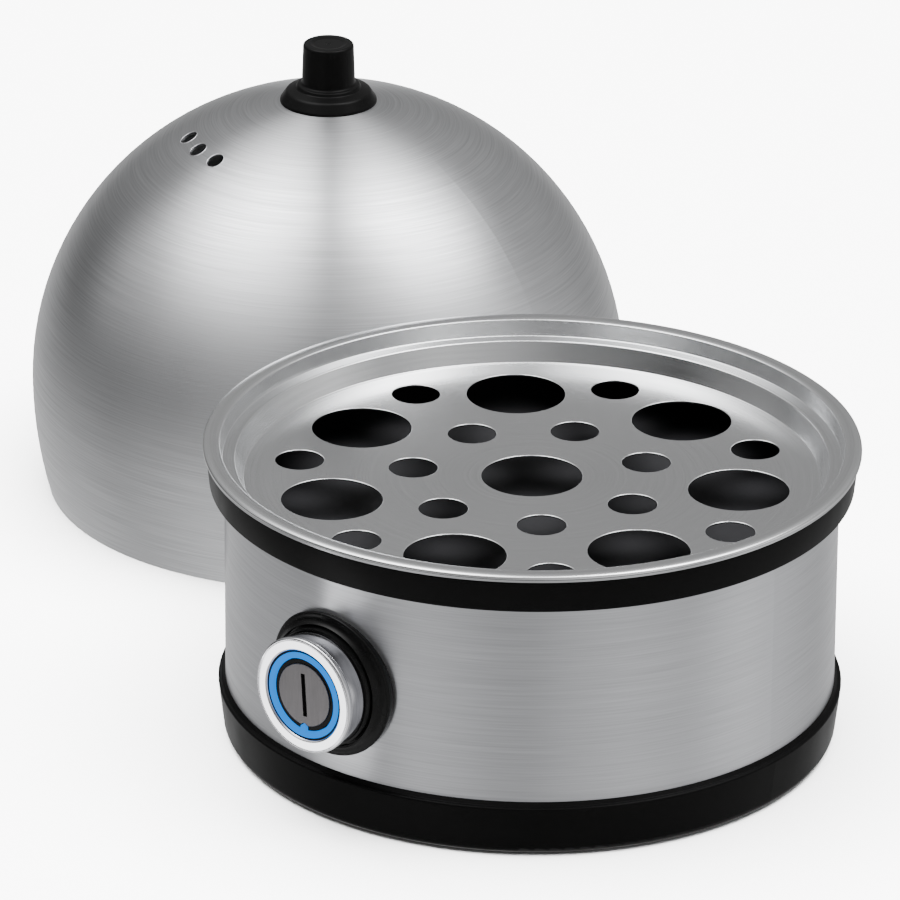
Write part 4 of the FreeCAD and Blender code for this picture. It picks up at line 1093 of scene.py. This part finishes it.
@dataclass
class DomedLid:
    """Spun steel lid with three vents and a black knob, standing beside the base."""

    frame: Frame
    axis: tuple[float, float] = LID_AXIS
    skirt: float = LID_SKIRT
    radius: float = LID_RADIUS
    mouth_radius: float = 88.7
    sheet: float = 0.8
    vent_radius: float = 2.8
    vent_circle: float = 44.0
    vent_first_deg: float = -39.8
    vent_pitch_deg: float = 14.0
    vent_count: int = 3
    lip_width: float = 0.28
    lip_height: float = 0.14
    knob_top: float = 146.3
    gate_sunk: float = 0.3  # the knob's top is dished, and the mark stands in the dish

    def build_hem(self) -> None:
        """Fold the lid's edge inward, which stiffens the mouth."""
        bm = bmesh.new()
        inside = self.mouth_radius - self.sheet
        turn(bm, rounded([
            (inside + 0.3, 0.1), (inside - 0.55, 0.1, 0.3), (inside - 0.4, 4.2, 0.3),
            (inside + 0.9, 4.6),
        ]))
        self.frame.add("lid_hem", finished_mesh("lid_hem", bm, self.axis), LID_STEEL, "lid",
                       "brushed_dome")

    def build_vent_lips(self) -> None:
        """Draw a fine raised lip round each vent."""
        bm = bmesh.new()
        lean = math.asin(self.vent_circle / self.radius)
        centre = Vector((0, 0, self.skirt * MM))
        for i in range(self.vent_count):
            azimuth = math.radians(self.vent_first_deg + i * self.vent_pitch_deg)
            way = Vector((math.sin(lean) * math.sin(azimuth), -math.sin(lean) * math.cos(azimuth),
                          math.cos(lean)))
            ring = bmesh.new()
            seat = math.sqrt(self.radius**2 - self.vent_radius**2)
            turn(ring, ring_outline(self.vent_radius + self.lip_width / 2, seat,
                                    self.lip_width, self.lip_height), segments=48)
            tilt = way.to_track_quat("Z", "Y").to_matrix().to_4x4()
            ring.transform(Matrix.Translation(centre) @ tilt)
            lip = bpy.data.meshes.new("lip")
            ring.to_mesh(lip)
            ring.free()
            bm.from_mesh(lip)
            bpy.data.meshes.remove(lip)
        self.frame.add("vent_lips", finished_mesh("vent_lips", bm, self.axis), LID_STEEL, "lid",
                       "brushed_dome")

    def build_gate_mark(self) -> None:
        """Leave the moulding's small gate mark on top of the knob."""
        bm = bmesh.new()
        top = self.knob_top - self.gate_sunk
        turn(bm, [(0.05, top + 0.16), (0.35, top + 0.15), (0.5, top + 0.05), (0.95, top + 0.02),
                  (1.1, top + 0.06), (1.25, top - 0.05)], segments=32, close=False)
        self.frame.add("gate_mark", finished_mesh("gate_mark", bm, self.axis), KNOB_RESIN, "lid",
                       "black_knob")

    def dress(self) -> None:
        """Give the lid its finishes."""
        self.frame.dress(LID_STEEL, "lid_dome")
        self.frame.dress(KNOB_RESIN, "lid_knob")
        self.frame.dress(ZINC, "knob_washer", "knob_screw")

    def build(self) -> None:
        """Build and dress the lid."""
        self.dress()
        self.build_hem()
        self.build_vent_lips()
        self.build_gate_mark()


@dataclass
class HeaterAndControls:
    """What sits under the bowl: element, thermostat, fuse, terminals and wires."""

    frame: Frame

    def dress(self) -> None:
        """Give each hidden piece its finish."""
        # Extruded silicone insulation: soft, matt and strongly coloured.
        brown = Moulded("brown_silicone", "#5A2E17", "#66361C", roughness=0.5)
        blue = Moulded("blue_silicone", "#23509E", "#2B5BAB", roughness=0.5)
        green = Moulded("green_silicone", "#3F8A34", "#55983C", roughness=0.5)
        self.frame.dress(brown, "wire_live", "wire_switched", "wire_heater")
        self.frame.dress(blue, "wire_neutral")
        self.frame.dress(green, "wire_earth")
        self.frame.dress(CAST_ALUMINIUM, "heat_spreader")
        self.frame.dress(ELEMENT_ALLOY, "heater_element")
        self.frame.dress(
            ZINC, "standoff_1", "standoff_2", "standoff_3", "standoff_screws", "bracket_screws",
            "thermostat_bracket", "terminal_screws", "earth_tag",
        )
        # Pressed phenolic, undyed: dull cream.
        self.frame.dress(Moulded("cream_phenolic", "#B3A27F", "#BDAD8B", roughness=0.5),
                         "thermostat")
        # Braided glass-fibre sleeve: off-white and matt.
        self.frame.dress(Moulded("glass_fibre_sleeve", "#D9D6C9", "#E2DFD3", roughness=0.8),
                         "thermal_fuse")
        # Undyed nylon: milky and slightly glossy.
        self.frame.dress(Moulded("natural_nylon", "#D3D0C1", "#DBD8CA", roughness=0.45),
                         "terminal_block")
        self.frame.dress(BLACK_ABS, "buzzer")

    def build(self) -> None:
        """Build and dress the heater and its controls."""
        self.dress()


# ---- studio -----------------------------------------------------------------------


@dataclass(frozen=True)
class LightTier:
    """A level ring of soft light round the stage.

    Its radiances stand at even steps of azimuth and blend from one to the next. The
    first stands straight across the stage from the camera, and the middle one above it.
    """

    name: str
    elevation: float
    radiance: tuple[float, ...]

    def light(
        self, tree: bpy.types.NodeTree, azimuth_share: bpy.types.NodeSocket
    ) -> bpy.types.NodeSocket:
        """Add the tier to the world's node tree.

        Args:
            tree: The world's node tree.
            azimuth_share: Direction's azimuth, from 0 to 1 for the full turn.

        Returns:
            The tier's radiance at that azimuth.
        """
        ramp = add_node(tree, "ShaderNodeValToRGB", {0: azimuth_share})
        stops = ramp.color_ramp.elements
        values = self.radiance + self.radiance[:1]
        top = max(values)
        while len(stops) < len(values):
            stops.new(1.0)
        for i, value in enumerate(values):
            stops[i].position = i / (len(values) - 1)
            stops[i].color = (value / top, value / top, value / top, 1.0)
        return add_node(
            tree, "ShaderNodeMath", {0: ramp.outputs[0], 1: top}, operation="MULTIPLY"
        ).outputs[0]


TIERS = (
    LightTier("low", -35.0, (1.52, 1.05, 0.73, 1.31, 0.63, 0.80, 1.10, 0.76)),
    LightTier("level", 0.0, (0.37, 0.21, 0.08, 0.03, 0.02, 0.02, 0.15, 0.22, 0.80, 1.06, 0.36,
                             1.18, 0.72, 0.42, 0.33)),
    LightTier("raised", 35.0, (0.32, 0.57, 0.41, 1.14, 0.54, 0.10, 0.18, 0.27, 0.39, 0.62, 0.66,
                               0.82, 0.41, 0.50, 0.54)),
    LightTier("overhead", 70.0, (0.46, 4.67, 13.76, 5.37, 0.90, 2.18, 19.08, 1.48)),
)


@dataclass
class Studio:
    """Pale floor, soft light all round and the camera."""

    camera_mm: tuple[float, float, float] = (1317.327, -1615.126, 1000.243)
    heading_deg: float = -39.862
    dip_deg: float = 23.655
    roll_deg: float = 0.385
    lens_mm: float = 311.476
    floor_m: float = 12.0
    facing_deg: float = 39.2  # azimuth of the camera
    ceiling_m: float = 4.0  # across, and its height over the floor
    ceiling_high_m: float = 3.0
    ceiling_watts: float = 1100.0
    lid_axis: tuple[float, float] = LID_AXIS
    # the black card under the lid is painted shade, seen only in reflections
    painted_shade_card_radius: float = 86.0
    bezel_card_mm: tuple[float, float] = (-65.0, -182.0)
    bezel_card_half: float = 28.0
    bezel_card_slant: tuple[float, float] = (-37.6, -46.2)
    card_glow: float = 4.0
    card_lift_mm: float = 0.2

    def build_camera(self) -> None:
        """Make the camera and make it the scene's own."""
        data = bpy.data.cameras.new("camera")
        data.lens = self.lens_mm
        data.sensor_width = 36.0  # mm, a full-frame camera's
        data.clip_end = 60.0
        camera = bpy.data.objects.new("camera", data)
        camera.location = Vector(self.camera_mm) * MM
        heading = Matrix.Rotation(-math.radians(self.heading_deg), 4, "Z")
        dip = Matrix.Rotation(math.pi / 2 - math.radians(self.dip_deg), 4, "X")
        roll = Matrix.Rotation(math.radians(self.roll_deg), 4, "Z")
        camera.rotation_euler = (heading @ dip @ roll).to_euler()
        bpy.context.collection.objects.link(camera)
        bpy.context.scene.camera = camera

    def build_floor(self) -> None:
        """Lay a plain white floor."""
        mesh = bpy.data.meshes.new("floor")
        half = self.floor_m / 2
        mesh.from_pydata(
            [(-half, -half, 0), (half, -half, 0), (half, half, 0), (-half, half, 0)],
            [], [(0, 1, 2, 3)],
        )
        floor = bpy.data.objects.new("floor", mesh)
        # Matt-painted board: an even white with no sheen.
        material, tree = blank_material("matt_painted_board")
        close_material(tree, add_node(
            tree, "ShaderNodeBsdfPrincipled",
            {"Base Color": srgb("#F4F4F4"), "Roughness": 0.9, "Specular IOR Level": 0.0},
        ))
        mesh.materials.append(material)
        bpy.context.collection.objects.link(floor)
        floor.visible_glossy = False

    def build_ceiling(self) -> None:
        """Hang a broad soft light that whitens the floor and stays out of the metals."""
        lamp = bpy.data.lights.new("ceiling", "AREA")
        lamp.shape = "SQUARE"
        lamp.size = self.ceiling_m
        lamp.energy = self.ceiling_watts
        ceiling = bpy.data.objects.new("ceiling", lamp)
        ceiling.location.z = self.ceiling_high_m
        ceiling.visible_glossy = False
        bpy.context.collection.objects.link(ceiling)

    def _lay_card(self, name: str, mesh: bpy.types.Mesh, material: bpy.types.Material) -> None:
        """Lay a card just over the floor that only reflections can see.

        Args:
            name: The card's name.
            mesh: Its flat mesh, in metres.
            material: What it wears.
        """
        mesh.materials.append(material)
        card = bpy.data.objects.new(name, mesh)
        card.location.z = self.card_lift_mm * MM
        card.visible_camera = False
        card.visible_diffuse = False
        card.visible_shadow = False
        bpy.context.collection.objects.link(card)

    def build_cards(self) -> None:
        """Lay a black card under the lid as painted shade that only reflections see, and a white
        one that the bezel's face mirrors.
        """
        bm = bmesh.new()
        bmesh.ops.create_circle(bm, cap_ends=True, segments=96, radius=self.painted_shade_card_radius * MM)
        # Painted shade: a black card that only reflections see. The lid's hollow mirrors black,
        # standing in for the shade under the lid. It blocks no light.
        painted_shade = Moulded("black_painted_shade", "#010101", "#020202", roughness=1.0, specular=0.0)
        self._lay_card("painted_shade_card", finished_mesh("painted_shade_card", bm, self.lid_axis), painted_shade.material())
        centre = Vector(self.bezel_card_mm)
        half, slant = Vector((self.bezel_card_half, 0)), Vector(self.bezel_card_slant)
        corners = [centre - half - slant, centre + half - slant, centre + half + slant,
                   centre - half + slant]
        mesh = bpy.data.meshes.new("bezel_card")
        mesh.from_pydata([(c.x * MM, c.y * MM, 0) for c in corners], [], [(0, 1, 2, 3)])
        # Backlit opal film: an even white.
        film, tree = blank_material("backlit_opal_film")
        close_material(tree, add_node(
            tree, "ShaderNodeEmission", {"Color": srgb("#FFFFFF"), "Strength": self.card_glow}
        ))
        self._lay_card("bezel_card", mesh, film)

    def build_light(self) -> None:
        """Surround the stage with tiers of soft light."""
        world = bpy.data.worlds.new("studio_light")
        world.use_nodes = True
        tree = world.node_tree
        tree.nodes.clear()
        way = add_node(tree, "ShaderNodeTexCoord").outputs["Generated"]
        turned = add_node(
            tree, "ShaderNodeVectorRotate",
            {"Vector": way, "Axis": (0, 0, 1), "Angle": -math.radians(self.facing_deg)},
            rotation_type="AXIS_ANGLE",
        ).outputs[0]
        part = add_node(tree, "ShaderNodeSeparateXYZ", {0: turned}).outputs
        back = add_node(
            tree, "ShaderNodeMath", {0: part[1], 1: -1.0}, operation="MULTIPLY"
        ).outputs[0]
        azimuth = add_node(
            tree, "ShaderNodeMath", {0: part[0], 1: back}, operation="ARCTAN2"
        ).outputs[0]
        elevation = add_node(tree, "ShaderNodeMath", {0: part[2]}, operation="ARCSINE").outputs[0]
        share = add_node(
            tree, "ShaderNodeMapRange", {0: azimuth, 1: -math.pi, 2: math.pi, 3: 0.0, 4: 1.0}
        ).outputs[0]
        total = TIERS[0].light(tree, share)
        for below, tier in zip(TIERS, TIERS[1:]):
            rise = add_node(
                tree, "ShaderNodeMapRange",
                {0: elevation, 1: math.radians(below.elevation), 2: math.radians(tier.elevation),
                 3: 0.0, 4: 1.0},
            ).outputs[0]
            total = add_node(
                tree, "ShaderNodeMix", {0: rise, 2: total, 3: tier.light(tree, share)}
            ).outputs[0]
            LOG.info("light tier %s", tier.name)
        air = add_node(
            tree, "ShaderNodeBackground", {"Color": srgb("#FFFFFF"), "Strength": total}
        )
        add_node(tree, "ShaderNodeOutputWorld", {"Surface": air.outputs[0]})
        bpy.context.scene.world = world

    def build(self) -> None:
        """Make the whole studio."""
        self.build_camera()
        self.build_floor()
        self.build_ceiling()
        self.build_cards()
        self.build_light()


def main() -> None:
    """Load the frame, build and dress every sub-assembly, and build the studio."""
    logging.basicConfig(level=logging.INFO, format="%(name)s: %(message)s")
    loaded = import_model()
    frame = Frame(nodes=loaded["nodes"])
    Studio().build()
    for assembly in (BaseCasing, CookingBowl, PushButton, DomedLid, HeaterAndControls):
        assembly(frame).build()


if __name__ == "__main__":
    main()
